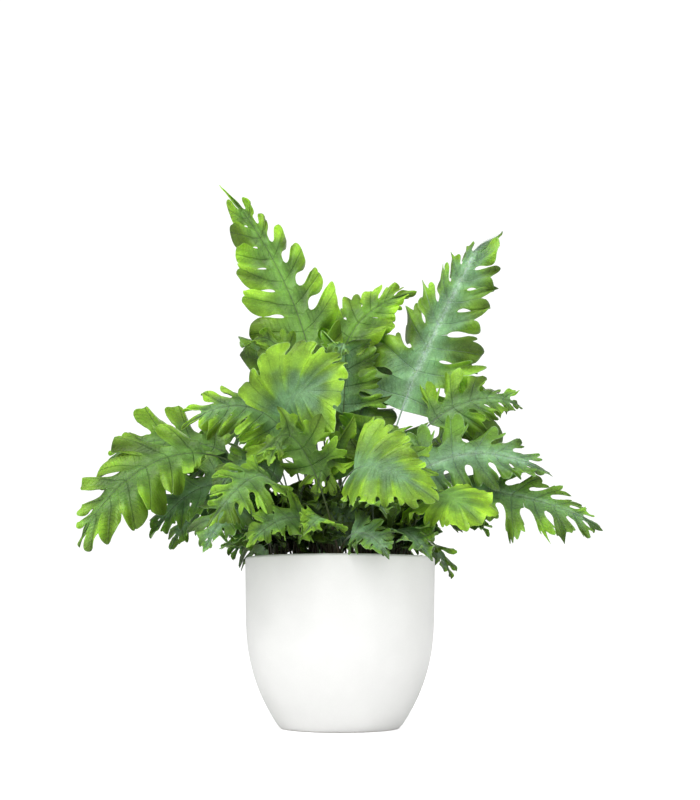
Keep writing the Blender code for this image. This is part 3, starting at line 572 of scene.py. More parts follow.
def rib_curve(frond):
    """The four points of the rib's curve: it leaves the foot steeply, then follows bend and tip."""
    foot = foot_of(frond)
    bend = np.array(frond.bend, float)
    away = bend - foot
    rise = foot + STALK_RISE * np.linalg.norm(away) * UP + STALK_LEAN * away
    return foot, rise, bend, np.array(frond.tip, float)


class Rib:
    """The rib of one frond: places and frames by share of its length."""

    def __init__(self, frond):
        self.points = rib_curve(frond)
        self.face = unit(np.array(frond.face, float))
        t = np.linspace(0, 1, RIB_STEPS + 1)
        places, _ = bezier(self.points, t)
        run = np.concatenate([[0], np.cumsum(np.linalg.norm(np.diff(places, axis=0), axis=1))])
        self.share, self.t = run / run[-1], t
        self.stalk = frond.stalk

    def at(self, share):
        """Place, way along, way across to the left and way up, at shares of the rib's length."""
        place, way = bezier(self.points, np.interp(share, self.share, self.t))
        turned = smooth(np.asarray(share, float) / self.stalk)[..., None]
        start = unit(np.cross(UP, self.points[3] - self.points[0]))
        start = unit(np.cross(unit(self.points[1] - self.points[0]), start))
        up = start * (1 - turned) + self.face * turned
        up = up - (up * way).sum(-1, keepdims=True) * way
        up = up / np.linalg.norm(up, axis=-1, keepdims=True)
        return place, way, np.cross(up, way), up

    def half(self, share):
        """Half the rib's width."""
        return STALK_HALF + (RIB_END_HALF - STALK_HALF) * np.clip(share, 0, 1) ** 1.5


def tooth(x, point):
    """One rounded or pointed tooth for each whole step of x, from 0 in the notches to 1."""
    step = np.mod(x, 1.0)
    scallop = np.sin(math.pi * step) ** SCALLOP
    spike = 1 - np.abs(2 * step - 1)
    return (1 - point) * scallop + point * spike


class Lobes:
    """The lobes of a frond's blade, as surfaces between their middle lines."""

    def __init__(self, frond):
        self.blade = BLADES[frond.kind]
        self.rib = Rib(frond)
        self.pairs = frond.pairs
        rng = np.random.default_rng(frond.seed)
        share = np.arange(frond.pairs + 1) / frond.pairs
        end = 1 - self.blade.tip * (1 - frond.stalk)
        crowded = (1 + ROW_CROWDING) * share - ROW_CROWDING * share**2
        self.rows = frond.stalk + (end - frond.stalk) * crowded
        low, middle, top = self.blade.envelope
        at = (np.arange(frond.pairs) + 0.5) / frond.pairs
        envelope = low + (middle - low) * smooth(at / LONGEST_AT)
        envelope = envelope + (top - middle) * smooth((at - LONGEST_AT) / (1 - LONGEST_AT))
        jitter = rng.uniform(-1, 1, (5, 2, frond.pairs))
        spread = self.blade.spread[0] + (self.blade.spread[1] - self.blade.spread[0]) * at
        self.length = frond.width * envelope * (1 + LOBE_VARIATION * jitter[0])
        self.angle = np.radians(spread + ANGLE_VARIATION * jitter[1])
        self.lift = self.blade.lift * (1 + LIFT_VARIATION * jitter[2])
        self.droop = self.blade.droop * (1 + DROOP_VARIATION * jitter[3])
        self.twist = LOBE_TWIST * (1 + jitter[4])
        cut = CUTS.get(frond.name)
        if cut:
            self.length = np.array([cut.right, cut.left], float)
            self.angle = np.radians([cut.right_angles, cut.left_angles])
        self.chance = np.random.default_rng((frond.seed, 7)).uniform(-1, 1, (8, 2, frond.pairs + 1))
        self.tail = TAILS.get(frond.name, (0.0, 0.0))

    def refine(self, name):
        """Gives the lobes their finished lengths, and makes a fan's rise alike, as one surface."""
        right, left, right_nearer, left_nearer = GROWN.get(name, (1.0, 1.0, 0.0, 0.0))
        self.length = self.length * np.array([[right], [left]])
        self.angle = self.angle - np.array([[right_nearer], [left_nearer]])
        if name.startswith(HELD_UP):
            self.rib.points = (*self.rib.points[:3], self.rib.points[3] + RIM_RISE * UP)
            self.length = self.length * RIM_SHORTER
            self.droop = self.droop * RIM_DROOP
        if self.blade.joined > FAN_JOINED:
            self.lift = self.lift * (1 - FAN_EVEN) + self.lift.mean() * FAN_EVEN
            self.droop = self.droop * (1 - FAN_EVEN) + self.droop.mean() * FAN_EVEN
            self.twist = self.twist * (1 - FAN_EVEN)

    def root(self, side, share):
        place, _, across, _ = self.rib.at(share)
        return place + side * self.rib.half(share)[..., None] * across

    def middle_line(self, side, i, a):
        """The middle line of lobe i of a side (1 left, -1 right), at shares a of its length."""
        a = np.asarray(a, float)[..., None]
        if i == self.pairs:
            share = self.rows[-1] + a[..., 0] * (1 - self.rows[-1])
            return self.rib.at(share)[0]
        if i < 0:
            return 2 * self.middle_line(side, 0, a[..., 0]) - self.middle_line(side, 1, a[..., 0])
        share = (self.rows[i] + self.rows[i + 1]) / 2
        _, way, across, up = self.rib.at(share)
        k = (side + 1) // 2
        angle, out = self.angle[k, i], side * across
        ahead = math.cos(angle) * way + math.sin(angle) * out
        hook = self.blade.hook * (math.sin(angle) * way - math.cos(angle) * out)
        rise = self.lift[k, i] * a - self.droop[k, i] * a**2
        reach = a * ahead + a**2 * hook / 2 + rise * up
        return self.root(side, share) + self.length[k, i] * reach

    def border(self, side, i, a):
        """The line midway between lobes i and i + 1 of a side, which starts on the rib."""
        a = np.asarray(a, float)
        middle = (self.middle_line(side, i, a) + self.middle_line(side, i + 1, a)) / 2
        start = (self.middle_line(side, i, 0.0) + self.middle_line(side, i + 1, 0.0)) / 2
        fade = np.clip(1 - a / self.blade.joined, 0, 1)[..., None]
        return middle + fade * (self.root(side, self.rows[i + 1]) - start)

    def round_the_edge(self, side, i, b):
        """How far round the edge a point is, in lobes: up at the left and down at the right."""
        if i == self.pairs:
            return self.pairs + (1 - b) / 2
        up_side = i + (1 + b) / 2
        return up_side if side > 0 else 2 * self.pairs + 1 - up_side

    def surface(self, side, i, rho, b, margin):
        """Points of a lobe, and how far along and how free of its neighbours each is.

        rho runs from root to end, b from its lower edge, -1, to its upper edge, 1. The end lobe is
        i == pairs: there b runs from its right edge to its left edge.
        """
        rho, b = np.broadcast_arrays(np.asarray(rho, float), np.asarray(b, float))
        c = self.blade.joined
        k = (side + 1) // 2
        chance = self.chance[:, k, i]
        shoulder = c + LOBE_SHOULDER * (1 - c)
        dome = np.sqrt(np.clip(1 - b**2, 0, 1))
        teeth = margin.teeth + TEETH_VARIATION * chance[0]
        if i < self.pairs:
            teeth *= (self.length[k, i] / self.length.mean()) ** BY_SIZE
        teeth = max(1, round(teeth))
        aside = TEETH_ASIDE * chance[1] * dome
        turn = np.arcsin(np.clip(b + aside, -1, 1)) / math.pi + 0.5
        notch = margin.depth * (1 + NOTCH_VARIATION * chance[2])
        notch = notch * (1 - tooth(teeth * turn, margin.point))
        flat = 1 - (1 - dome**margin.blunt) * min(1.0, 2 * margin.blunt)
        end = shoulder + (1 - shoulder) * flat - (1 - c) * notch * dome**0.5
        if i == self.pairs and margin.blunt < 0.5:
            end = end - FAN_ROUND * dome
        a = np.where(rho < c, rho, c + (rho - c) * (end - c) / (1 - c))
        free = np.clip((a - c) / (1 - c), 0, 1)
        opening = 1 - np.clip(free / LOBE_SINUS, 0, 1)
        opening = np.sqrt(1 - opening**2)
        notched = 1 - tooth(margin.nicks * free + chance[3], margin.point)
        nick = margin.nick * notched * smooth(3 * free)
        gap = self.blade.gap * margin.open * (1 + GAP_VARIATION * chance[4])
        gap = np.clip(gap, *GAP_LIMITS)
        flare = margin.flare * (1 + FLARE_VARIATION * chance[6]) * smooth(1.4 * free)
        flare = self.blade.flare * free + flare
        share = np.minimum(1 - gap * opening + flare, LOBE_WIDEST) * (1 - nick * b**4)
        middle = self.middle_line(side, i, a)
        if i == 0 and c < FAN_JOINED:
            share = share * (1 - NECK * np.sin(math.pi * np.clip(a / NECK_END, 0, 1)) * (b < 0))
        if i == self.pairs:
            share = share * (1 - TAIL_TAPER * smooth(1.8 * free - 0.2) * (margin.teeth < 2))
            edge = np.where((b > 0)[..., None], self.border(1, i - 1, a), self.border(-1, i - 1, a))
            return middle + (edge - middle) * (share * np.abs(b))[..., None], a, free
        edge = np.where((b > 0)[..., None], self.border(side, i, a), self.border(side, i - 1, a))
        point = middle + (edge - middle) * (share * np.abs(b))[..., None]
        half = np.linalg.norm(edge - middle, axis=-1) * share * b
        up = self.rib.at((self.rows[i] + self.rows[i + 1]) / 2)[3]
        return point + (half * self.twist[k, i] * free)[..., None] * up, a, free

    def swell(self, side, i, b):
        """How strong a lobe's waves are: less on a short one."""
        sizes = self.length / self.length.mean()
        if i == self.pairs:
            here, beside = TIP_SWELL, np.where(b > 0, sizes[1, -1], sizes[0, -1])
        else:
            ends = np.concatenate([sizes[(side + 1) // 2], [TIP_SWELL]])
            here, beside = ends[i], np.where(b > 0, ends[i + 1], ends[max(i - 1, 0)])
        return np.minimum(1, here + (beside - here) * np.abs(b) / 2) ** BY_SIZE

    def leaning(self, a):
        """How far the end lobe leans at shares a of its length."""
        return (smooth(a) ** 1.5)[..., None] * np.array([self.tail[0], 0.0, self.tail[1]])

    def waved(self, side, i, rho, b, margin):
        """The same points with waves, curl and folds, and the painted light and shade that their
        height gives.
        """
        point, a, free = self.surface(side, i, rho, b, margin)
        k = (side + 1) // 2
        b = np.broadcast_to(b, a.shape)
        chance = self.chance[:, k, i]
        along = self.round_the_edge(side, i, b) * math.tau
        phase = 3 * self.chance[0, 0, 0]
        small, quicker = SMALL_WAVES
        slow = np.sin(margin.waves * along + phase)
        slow = slow + small * np.sin(quicker * margin.waves * along + 2 * phase)
        fast = np.sin(CRIMPS * along + 5 * phase + 5 * a)
        relief = margin.ruffle * slow * a**GROWTH * (CALM + (1 - CALM) * free)
        relief = relief + margin.crisp * fast * free * (CALM + (1 - CALM) * b**2)
        relief = relief + margin.curl * free**2 * (chance[5] + 0.5 * chance[6] * b)
        relief = relief + LOBE_RISE * (1 - self.blade.joined) ** 2 * chance[4] * a**1.5
        fold = margin.pleat * (np.abs(b) ** 1.5 - 1) * smooth(a / 0.3) * (1 - 0.6 * free)
        height = (relief + fold) * self.length.mean() / MEAN_LOBE * self.swell(side, i, b)
        # Painted light and shade: hollows of the waves and folds darker, ridges and each lobe's
        # upper side lighter
        relief = (relief + fold + 0.6 * margin.pleat + SHADED_EDGE * b * free) / RELIEF
        rows = self.rows
        share = rows[-1] if i == self.pairs else rows[i] + (b + 1) / 2 * (rows[i + 1] - rows[i])
        _, way, _, up = self.rib.at(share)
        swing = np.cos(margin.waves * along + phase + 0.8)
        sway = SWAY * margin.ruffle * swing * a**GROWTH * (0.4 + 0.6 * free)
        sway = (sway + LOBE_BEND * chance[2] * a**2) * (1 - self.blade.joined) ** 2 * 2
        sway = sway * self.length.mean() / MEAN_LOBE * (i < self.pairs)
        point = point + sway[..., None] * way
        if i == self.pairs:
            return point + height[..., None] * up + self.leaning(a), a, free, relief
        wide = np.linalg.norm(point - self.middle_line(side, i, a), axis=-1)
        height = height + TWIST * wide * b * (self.twist[k, i] + 0.15 * chance[7]) * free
        cup = CUP * (1 + chance[3]) * min(1.0, 2 * (1 - self.blade.joined))
        height = height - cup * wide * np.abs(b) * smooth(2 * free)
        return point + height[..., None] * up, a, free, relief


def turning(axis, angle):
    """The matrix of a turn about an axis through the origin."""
    x, y, z = axis
    cross = np.array([[0, -z, y], [z, 0, -x], [-y, x, 0]])
    return np.eye(3) + math.sin(angle) * cross + (1 - math.cos(angle)) * cross @ cross


def turn_to(k, turns):
    """Nudge k as a matrix. It turns a frond about its foot, by more the larger k is."""
    share = (k / NUDGES) ** (1 / 3)
    turn = np.eye(3)
    for axis, most, step in zip(np.eye(3), turns, NUDGE_STEPS):
        turn = turning(axis, math.radians(most) * share * (2 * (k * step % 1) - 1)) @ turn
    return turn


@lru_cache
def nudges(turns):
    return np.array([turn_to(k, turns) for k in range(NUDGES)])


def turn_of(frond, lobes, turns):
    """The nudge that the solid frond has: the one that lays the lobes' corners on its mesh."""
    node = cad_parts[f"frond_{frond.name}"]
    solid = np.array([v.co for v in node.data.vertices]) / MM
    foot, miss = foot_of(frond), 0.0
    sides = [(side, i) for i in range(0, lobes.pairs, 2) for side in (-1, 1)] + [(1, lobes.pairs)]
    for side, i in sides:
        for b in (-CORNER, CORNER):
            corner = lobes.surface(side, i, 1.0, b, PLAIN_MARGIN)[0]
            placed = nudges(turns) @ (corner - foot) + foot
            miss = miss + np.linalg.norm(placed[:, None] - solid[None], axis=2).min(1)
    best = int(np.argmin(miss))
    if miss[best] > MOST_MISS * 2 * len(sides):
        raise ValueError(f"{frond.name} isn't where its solid is")
    return nudges(turns)[best]


def free_socket(heading, inner, used):
    """The first free socket on the arm that points nearest the heading, or on one beside it."""
    arm = arm_towards(heading)
    places = range(SOCKETS_PER_ARM) if inner else range(SOCKETS_PER_ARM - 1, -1, -1)
    arms = [(arm + step) % ARM_COUNT for step in (0, 1, -1, 2, -2, 3)]
    sockets = ((arm, place) for arm in arms for place in places)
    return next(socket for socket in sockets if socket not in used)


def tier_fronds():
    """The fronds of the tiers, one tier after the other."""
    fronds, used = [], {(f.arm, f.place) for f in FRONT_FRONDS}
    for tier in TIERS:
        for n in range(tier.count):
            first, last = tier.headings
            heading = first + (last - first) * (n + 0.5) / tier.count
            socket = free_socket(heading, tier.inner, used)
            used.add(socket)
            vary = 1 + TIER_VARIATION * math.sin(5 * n + tier.count)
            out = level_way(heading)
            tip = (out * tier.reach + UP * tier.height) * vary
            bend = (out * tier.reach * TIER_BEND + UP * (tier.height + tier.arch)) * vary
            face = out * tier.outward + UP * tier.upright
            name, seed = f"{tier.name}_{n + 1}", TIER_SEED + len(fronds)
            tone = 0.2 + 0.15 * (seed % 5)
            shape = (tier.stalk, tier.width * vary, tier.pairs, tier.kind, tone, seed)
            fronds.append(Frond(name, *socket, tuple(bend), tuple(tip), tuple(face), *shape))
    return fronds


# Materials. Scales of noise are per metre, and distances of bumps are in metres.


class Shading:
    """A material's or a group's nodes, added one by one."""

    def __init__(self, tree):
        self.tree = tree

    def add(self, kind, **values):
        node = self.tree.nodes.new(kind)
        for name, value in values.items():
            setattr(node, name, value)
        return node

    def put(self, socket, value):
        if isinstance(value, bpy.types.NodeSocket):
            self.tree.links.new(value, socket)
        else:
            socket.default_value = value

    def give(self, node, values):
        """Puts a value or another node's result on each named input of a node."""
        for name, value in values.items():
            self.put(node.inputs[name], value)

    def math(self, operation, a, b=0.0):
        node = self.add("ShaderNodeMath", operation=operation)
        self.put(node.inputs[0], a)
        self.put(node.inputs[1], b)
        return node.outputs[0]

    def plus(self, a, b):
        return self.math("ADD", a, b)

    def minus(self, a, b):
        return self.math("SUBTRACT", a, b)

    def times(self, a, b):
        return self.math("MULTIPLY", a, b)

    def rest(self, share):
        """One less a share."""
        return self.minus(1.0, share)

    def mix(self, share, a, b, blend="MIX"):
        node = self.add("ShaderNodeMix", data_type="RGBA", blend_type=blend)
        self.put(node.inputs["Factor"], share)
        self.put(node.inputs[6], a)
        self.put(node.inputs[7], b)
        return node.outputs[2]

    def ramp(self, value, low, high, start=0.0, end=1.0):
        """Goes smoothly from start to end while a value goes from low to high."""
        node = self.add("ShaderNodeMapRange", interpolation_type="SMOOTHSTEP")
        self.give(node, {"Value": value, "From Min": low, "From Max": high})
        self.give(node, {"To Min": start, "To Max": end})
        return node.outputs["Result"]

    def noise(self, scale, detail=3.0, roughness=0.55):
        node = self.add("ShaderNodeTexNoise")
        self.give(node, {"Scale": scale, "Detail": detail, "Roughness": roughness})
        self.put(node.inputs["Vector"], self.place())
        return node.outputs["Fac"]

    def place(self):
        return self.add("ShaderNodeTexCoord").outputs["Object"]

    def attribute(self, name):
        return self.add("ShaderNodeAttribute", attribute_name=name).outputs["Fac"]

    def bump(self, height, distance, strength=1.0, normal=None):
        node = self.add("ShaderNodeBump")
        self.give(node, {"Distance": distance, "Strength": strength, "Height": height})
        if normal:
            self.put(node.inputs["Normal"], normal)
        return node.outputs["Normal"]


def new_material(name):
    """An empty node material, its nodes, and its Principled shader."""
    made = bpy.data.materials.new(name)
    made.use_nodes = True
    return made, Shading(made.node_tree), made.node_tree.nodes["Principled BSDF"]


def new_group(name, inputs, outputs):
    """A node group with named sockets, its nodes, what it is given and what it gives out."""
    group = bpy.data.node_groups.new(name, "ShaderNodeTree")
    for title, kind in inputs:
        group.interface.new_socket(title, in_out="INPUT", socket_type=kind)
    for title, kind in outputs:
        group.interface.new_socket(title, in_out="OUTPUT", socket_type=kind)
    shading = Shading(group)
    given, out = shading.add("NodeGroupInput"), shading.add("NodeGroupOutput")
    return group, shading, given.outputs, out.inputs


def rgba(colour):
    return (*colour, 1.0)


def mottle_group():
    """Uneven growth: soft patches and fine specks in a colour."""
    name = "Mottle"
    if name in bpy.data.node_groups:
        return bpy.data.node_groups[name]
    real, colour = "NodeSocketFloat", "NodeSocketColor"
    sockets = [("Color", colour), ("Patches", real), ("Specks", real)]
    group, shading, given, out = new_group(name, sockets, [("Color", colour)])
    patches = shading.ramp(shading.noise(55.0, 3.0), 0.35, 0.68, -0.5, 0.5)
    specks = shading.ramp(shading.noise(900.0, 2.0, 0.7), 0.45, 0.72, -0.3, 0.7)
    change = shading.times(patches, given["Patches"])
    change = shading.plus(change, shading.times(specks, given["Specks"]))
    value = shading.add("ShaderNodeHueSaturation")
    shading.give(value, {"Value": shading.plus(1.0, change), "Color": given["Color"]})
    shading.put(out["Color"], value.outputs["Color"])
    return group


def put_mottle(shading, colour, patches, specks):
    node = shading.add("ShaderNodeGroup", node_tree=mottle_group())
    shading.give(node, {"Color": colour, "Patches": patches, "Specks": specks})
    return node.outputs["Color"]


def leaf_middle_and_edge(shading, leaf, bloom):
    """A blade's colour without its ribs and veins, and where it is waxy."""
    wander = shading.ramp(shading.noise(34.0), 0.3, 0.7, -0.2, 0.2)
    reach = shading.plus(shading.attribute("edge"), wander)
    waxy = shading.times(shading.rest(shading.ramp(reach, 0.1, 0.85)), bloom)
    colour = shading.mix(waxy, rgba(leaf.green), rgba(leaf.bloom))
    young = shading.times(shading.ramp(reach, 0.2, 1.0), shading.attribute("fresh"))
    return shading.mix(young, colour, rgba(leaf.fresh)), waxy


def leaf_lines(shading):
    """The lines across a lobe, which noise breaks up, and the vein in its middle."""
    step = shading.math("FRACT", shading.attribute("side"))
    line = shading.ramp(shading.math("ABSOLUTE", shading.minus(step, 0.5)), 0.10, 0.0)
    line = shading.times(line, shading.ramp(shading.noise(120.0, 2.0), 0.35, 0.6))
    return line, shading.rest(shading.ramp(shading.attribute("vein"), 0.1, 0.7))


def leaf_ribs(shading, colour, leaf, rib, pale):
    """A colour with a pale, patchy band beside a waxy rib, or with a dark rib."""
    beside = shading.rest(shading.ramp(rib, 0.4, 5.5))
    patchy = shading.ramp(shading.noise(260.0, 4.0, 0.7), 0.35, 0.65, 0.15, 1.0)
    band = shading.times(shading.times(pale, beside), patchy)
    colour = shading.mix(band, colour, rgba(leaf.pale_rib))
    dark = shading.times(shading.rest(shading.ramp(rib, 0.25, 0.9)), shading.rest(pale))
    return shading.mix(shading.times(dark, 0.7), colour, rgba(leaf.rib))


def leaf_bumps(shading, rib, sunk):
    """A fine net of cells, soft unevenness, and furrows where the rib and the lines are sunk."""
    net = shading.add("ShaderNodeTexVoronoi", feature="DISTANCE_TO_EDGE")
    shading.give(net, {"Scale": 420.0, "Vector": shading.place()})
    normal = shading.bump(shading.ramp(net.outputs["Distance"], 0.0, 0.16), 0.00012, 0.5)
    normal = shading.bump(shading.noise(150.0, 4.0), 0.0016, 0.5, normal)
    furrows = shading.minus(shading.ramp(rib, 0.0, 2.2), sunk)
    return shading.bump(furrows, 0.001, 0.7, normal)


def leaf_material(leaf):
    """The blade: waxy blue middle, fresh edge, pale or dark rib, veins, pale rim, a fine net, and
    painted light and shade.
    """
    made, shading, shader = new_material("leaf")
    rib, bloom, pale = (shading.attribute(name) for name in ("rib", "bloom", "pale"))
    colour, waxy = leaf_middle_and_edge(shading, leaf, bloom)
    line, vein = leaf_lines(shading)
    colour = shading.mix(shading.times(line, 0.3), colour, rgba(leaf.vein))
    vein_colour = shading.mix(pale, rgba(leaf.vein), rgba(leaf.pale_rib))
    colour = shading.mix(shading.times(vein, 0.38), colour, vein_colour)
    colour = leaf_ribs(shading, colour, leaf, rib, pale)
    rim = shading.times(shading.ramp(shading.attribute("rim"), 0.55, 1.0), bloom)
    colour = shading.mix(shading.times(rim, 0.3), colour, rgba(leaf.pale_rib))
    # Painted light and shade: the frond's lightness, darker in the hollows of its waves and lighter
    # on their ridges
    painted_light_and_shade = shading.ramp(shading.attribute("relief"), -1.0, 1.0, 0.4, 1.42)
    light = shading.times(shading.attribute("light"), painted_light_and_shade)
    shade = shading.add("ShaderNodeHueSaturation")
    shading.give(shade, {"Value": light, "Color": put_mottle(shading, colour, 0.5, 0.3)})
    shading.give(shader, {
        "Base Color": shade.outputs["Color"],
        "Roughness": shading.plus(0.42, shading.times(waxy, 0.2)),
        "Normal": leaf_bumps(shading, rib, shading.plus(shading.times(line, 0.5), vein)),
        "Specular IOR Level": 0.24,
        "Subsurface Weight": 0.3,
        "Subsurface Radius": (0.55, 1.0, 0.12),
        "Subsurface Scale": 0.0014,
    })
    return made


def stalk_material(leaf):
    """The round stalk and rib: brown at the foot, greener above, or whitish on a waxy blade."""
    made, shading, shader = new_material("stalk")
    rise = shading.ramp(shading.attribute("edge"), 0.0, 0.6)
    colour = shading.mix(rise, rgba(leaf.stalk), rgba(leaf.rib))
    pale = shading.times(shading.attribute("pale"), shading.ramp(rise, 0.2, 0.7))
    colour = shading.mix(pale, colour, rgba(leaf.pale_rib))
    shading.give(shader, {
        "Base Color": put_mottle(shading, colour, 0.3, 0.3),
        "Roughness": 0.5,
        "Normal": shading.bump(shading.noise(900.0), 0.0002, 0.4),
    })
    return made


def glaze_material(colour):
    """White satin glaze: level, with a faint waviness and fine pits, and a bare rubbed foot."""
    made, shading, shader = new_material("glaze")
    glaze = put_mottle(shading, rgba(colour), 0.02, 0.015)
    height = shading.add("ShaderNodeSeparateXYZ")
    shading.put(height.inputs["Vector"], shading.place())
    foot = shading.rest(shading.ramp(height.outputs["Z"], 0.0001, 0.0012))
    rough = shading.ramp(shading.noise(60.0, 4.0), 0.3, 0.7, 0.36, 0.44)
    wavy = shading.bump(shading.noise(28.0, 1.0), 0.0008, 0.25)
    shading.give(shader, {
        "Base Color": shading.mix(foot, glaze, BARE_CLAY),
        "Roughness": shading.plus(rough, shading.times(foot, 0.4)),
        "Normal": shading.bump(shading.noise(1400.0, 2.0), 0.00006, 0.3, wavy),
        "Specular IOR Level": 0.45,
    })
    return made


def soil_material(dark, light):
    """Moist peat with crumbs, bark and pale fibres."""
    made, shading, shader = new_material("soil")
    crumbs = shading.noise(420.0, 5.0, 0.7)
    colour = shading.mix(shading.ramp(crumbs, 0.4, 0.7), rgba(dark), rgba(light))
    shading.give(shader, {
        "Base Color": put_mottle(shading, colour, 0.6, 0.5),
        "Roughness": 0.95,
        "Normal": shading.bump(crumbs, 0.0016, 0.9),
    })
    return made


def fur_material(fur, skin):
    """The creeping stem's scales: golden brown, darker at their roots."""
    made, shading, shader = new_material("fur")
    colour = shading.mix(shading.attribute("edge"), rgba(skin), rgba(fur))
    shading.give(shader, {
        "Base Color": put_mottle(shading, colour, 0.4, 0.5),
        "Roughness": 0.7,
        "Normal": shading.bump(shading.noise(1500.0), 0.0003, 0.5),
    })
    return made


def floor_material(stage):
    """A white floor that glows for the camera only, so that it throws no light on the pot."""
    made, shading, shader = new_material("floor")
    shade = shading.ramp(shading.noise(3.0), 0.3, 0.7, 0.99, 1.0)
    seen = shading.add("ShaderNodeLightPath").outputs["Is Camera Ray"]
    shading.give(shader, {
        "Base Color": shading.mix(1.0, rgba(stage.floor), shade, "MULTIPLY"),
        "Emission Color": WHITE,
        "Emission Strength": shading.times(seen, stage.glow),
        "Roughness": 0.8,
    })
    return made


# Meshes


def select_only(obj):
    bpy.ops.object.select_all(action="DESELECT")
    obj.select_set(True)
    bpy.context.view_layer.objects.active = obj


def join(first, *others):
    select_only(first)
    for obj in others:
        obj.select_set(True)
    bpy.ops.object.join()


def apply_modifier(obj, modifier):
    select_only(obj)
    bpy.ops.object.modifier_apply(modifier=modifier.name)


def put_attribute(mesh, name, values):
    """Gives each point of a mesh its number under a name."""
    made = mesh.attributes.new(name, "FLOAT", "POINT")
    made.data.foreach_set("value", np.asarray(values, np.float32))


def mesh_object(name, points, faces, attributes):
    """An object from points in millimetres, with attributes for its points."""
    mesh = bpy.data.meshes.new(name)
    mesh.from_pydata((np.asarray(points) * MM).tolist(), [], faces)
    for title, values in attributes.items():
        put_attribute(mesh, title, values)
    obj = bpy.data.objects.new(name, mesh)
    bpy.context.scene.collection.objects.link(obj)
    return obj


def shifted(faces, start):
    """Faces of points that are numbered from start."""
    return [tuple(start + v for v in face) for face in faces]


def grid_faces(rows, columns, start, flip):
    """The quads of a grid of points that are numbered row by row from start."""
    first = (np.arange(rows - 1)[:, None] * columns + np.arange(columns - 1)[None] + start).ravel()
    order = (0, columns, columns + 1, 1) if flip else (0, 1, columns + 1, columns)
    return [tuple(face) for face in (first[:, None] + np.array(order)[None]).tolist()]


def blade_columns(count):
    """Places across a lobe, closer together towards its edges, as its round end needs."""
    turn = np.linspace(-1, 1, count)
    return EDGE_CROWDING * np.sin(turn * math.pi / 2) + (1 - EDGE_CROWDING) * turn


def blade_parts(frond, lobes, dress):
    """Points, faces and attributes of a frond's blade before it gets its thickness."""
    margin, openings = MARGINS[dress.margin], OPENINGS.get(frond.name, (1.0, 1.0))
    margins = [margin._replace(open=margin.open * wider) for wider in openings]
    b = blade_columns(dress.fine + 1)
    c = lobes.blade.joined
    inner = max(3, round(dress.fine * ROWS_TO_COLUMNS * c))
    outer = max(6, round(dress.fine * ROWS_TO_COLUMNS) - inner)
    rho = np.concatenate([np.linspace(0, c, inner + 1)[:-1], np.linspace(c, 1, outer + 1)])
    rho = rho[:, None]
    points, faces = [], []
    values = {name: [] for name in ("edge", "rib", "vein", "side", "rim", "relief")}
    total = 0
    sides = [(side, i) for i in range(lobes.pairs) for side in (-1, 1)] + [(1, lobes.pairs)]
    for side, i in sides:
        margin = margins[(side + 1) // 2]
        last = i == lobes.pairs
        if last:
            margin = margin._replace(curl=0.4 * margin.curl, pleat=0.5 * margin.pleat)
        if last and any(lobes.tail):
            margin = margin._replace(**PLAIN_TAIL)
        grid, a, free, relief = lobes.waved(side, i, rho, b[None], margin)
        if not last:
            low, high = lobes.rows[i], lobes.rows[i + 1]
            grid[0] = lobes.rib.at(low + (b + 1) / 2 * (high - low))[0]
        middle = grid[:, len(b) // 2][:, None]
        across = np.linalg.norm(grid - middle, axis=-1)
        away = across if last else np.linalg.norm(grid - grid[0], axis=-1)
        along = np.linalg.norm(grid - grid[:1, len(b) // 2][:, None], axis=-1)
        reach = np.clip(a / (0.30 + 0.70 * np.sqrt(1 - 0.75 * b[None] ** 2)), 0, 1)
        # The painted light and shade of the waves and folds
        values["relief"].append(relief)
        values["edge"].append(np.maximum(reach, free * b[None] ** 2))
        plain = FAN_PLAIN * (frond.kind == "fan") + RIB_FADE * free * last
        values["rib"].append(away + plain)
        values["vein"].append(across + plain)
        if frond.kind == "fan":
            values["side"].append(3 * lobes.round_the_edge(side, i, b[None]) + 0 * a)
        else:
            values["side"].append((along - 0.75 * across) / VEIN_SPACING)
        rim = np.maximum(((rho - c) / (1 - c)).clip(0) ** 9, b[None] ** 8 * smooth(free / 0.1))
        values["rim"].append(rim)
        faces += grid_faces(*a.shape, total, side > 0 and not last)
        points.append(grid.reshape(-1, 3))
        total += a.size
    flat = {}
    for name, parts in values.items():
        flat[name] = np.concatenate([(part + 0 * a).ravel() for part in parts])
    return np.concatenate(points), faces, flat


def tube_parts(line, radii, sides):
    """Points and faces of a closed tube round a line of points."""
    line = np.asarray(line)
    ways = np.gradient(line, axis=0)
    ways /= np.linalg.norm(ways, axis=1, keepdims=True)
    side = unit(np.cross(ways[0], UP if abs(ways[0][2]) < 0.9 else np.array([1.0, 0.0, 0.0])))
    points = []
    for middle, way, radius in zip(line, ways, radii):
        side = unit(side - (side @ way) * way)
        over = np.cross(way, side)
        turn = np.linspace(0, math.tau, sides, endpoint=False)[:, None]
        points.append(middle + radius * (np.cos(turn) * side + np.sin(turn) * over))
    faces = []
    for k in range(len(line) - 1):
        for j in range(sides):
            a, b = k * sides + j, k * sides + (j + 1) % sides
            faces.append((a, b, b + sides, a + sides))
    last = len(line) * sides
    faces += [tuple(range(sides))[::-1], tuple(range(last - sides, last))]
    return np.concatenate(points), faces


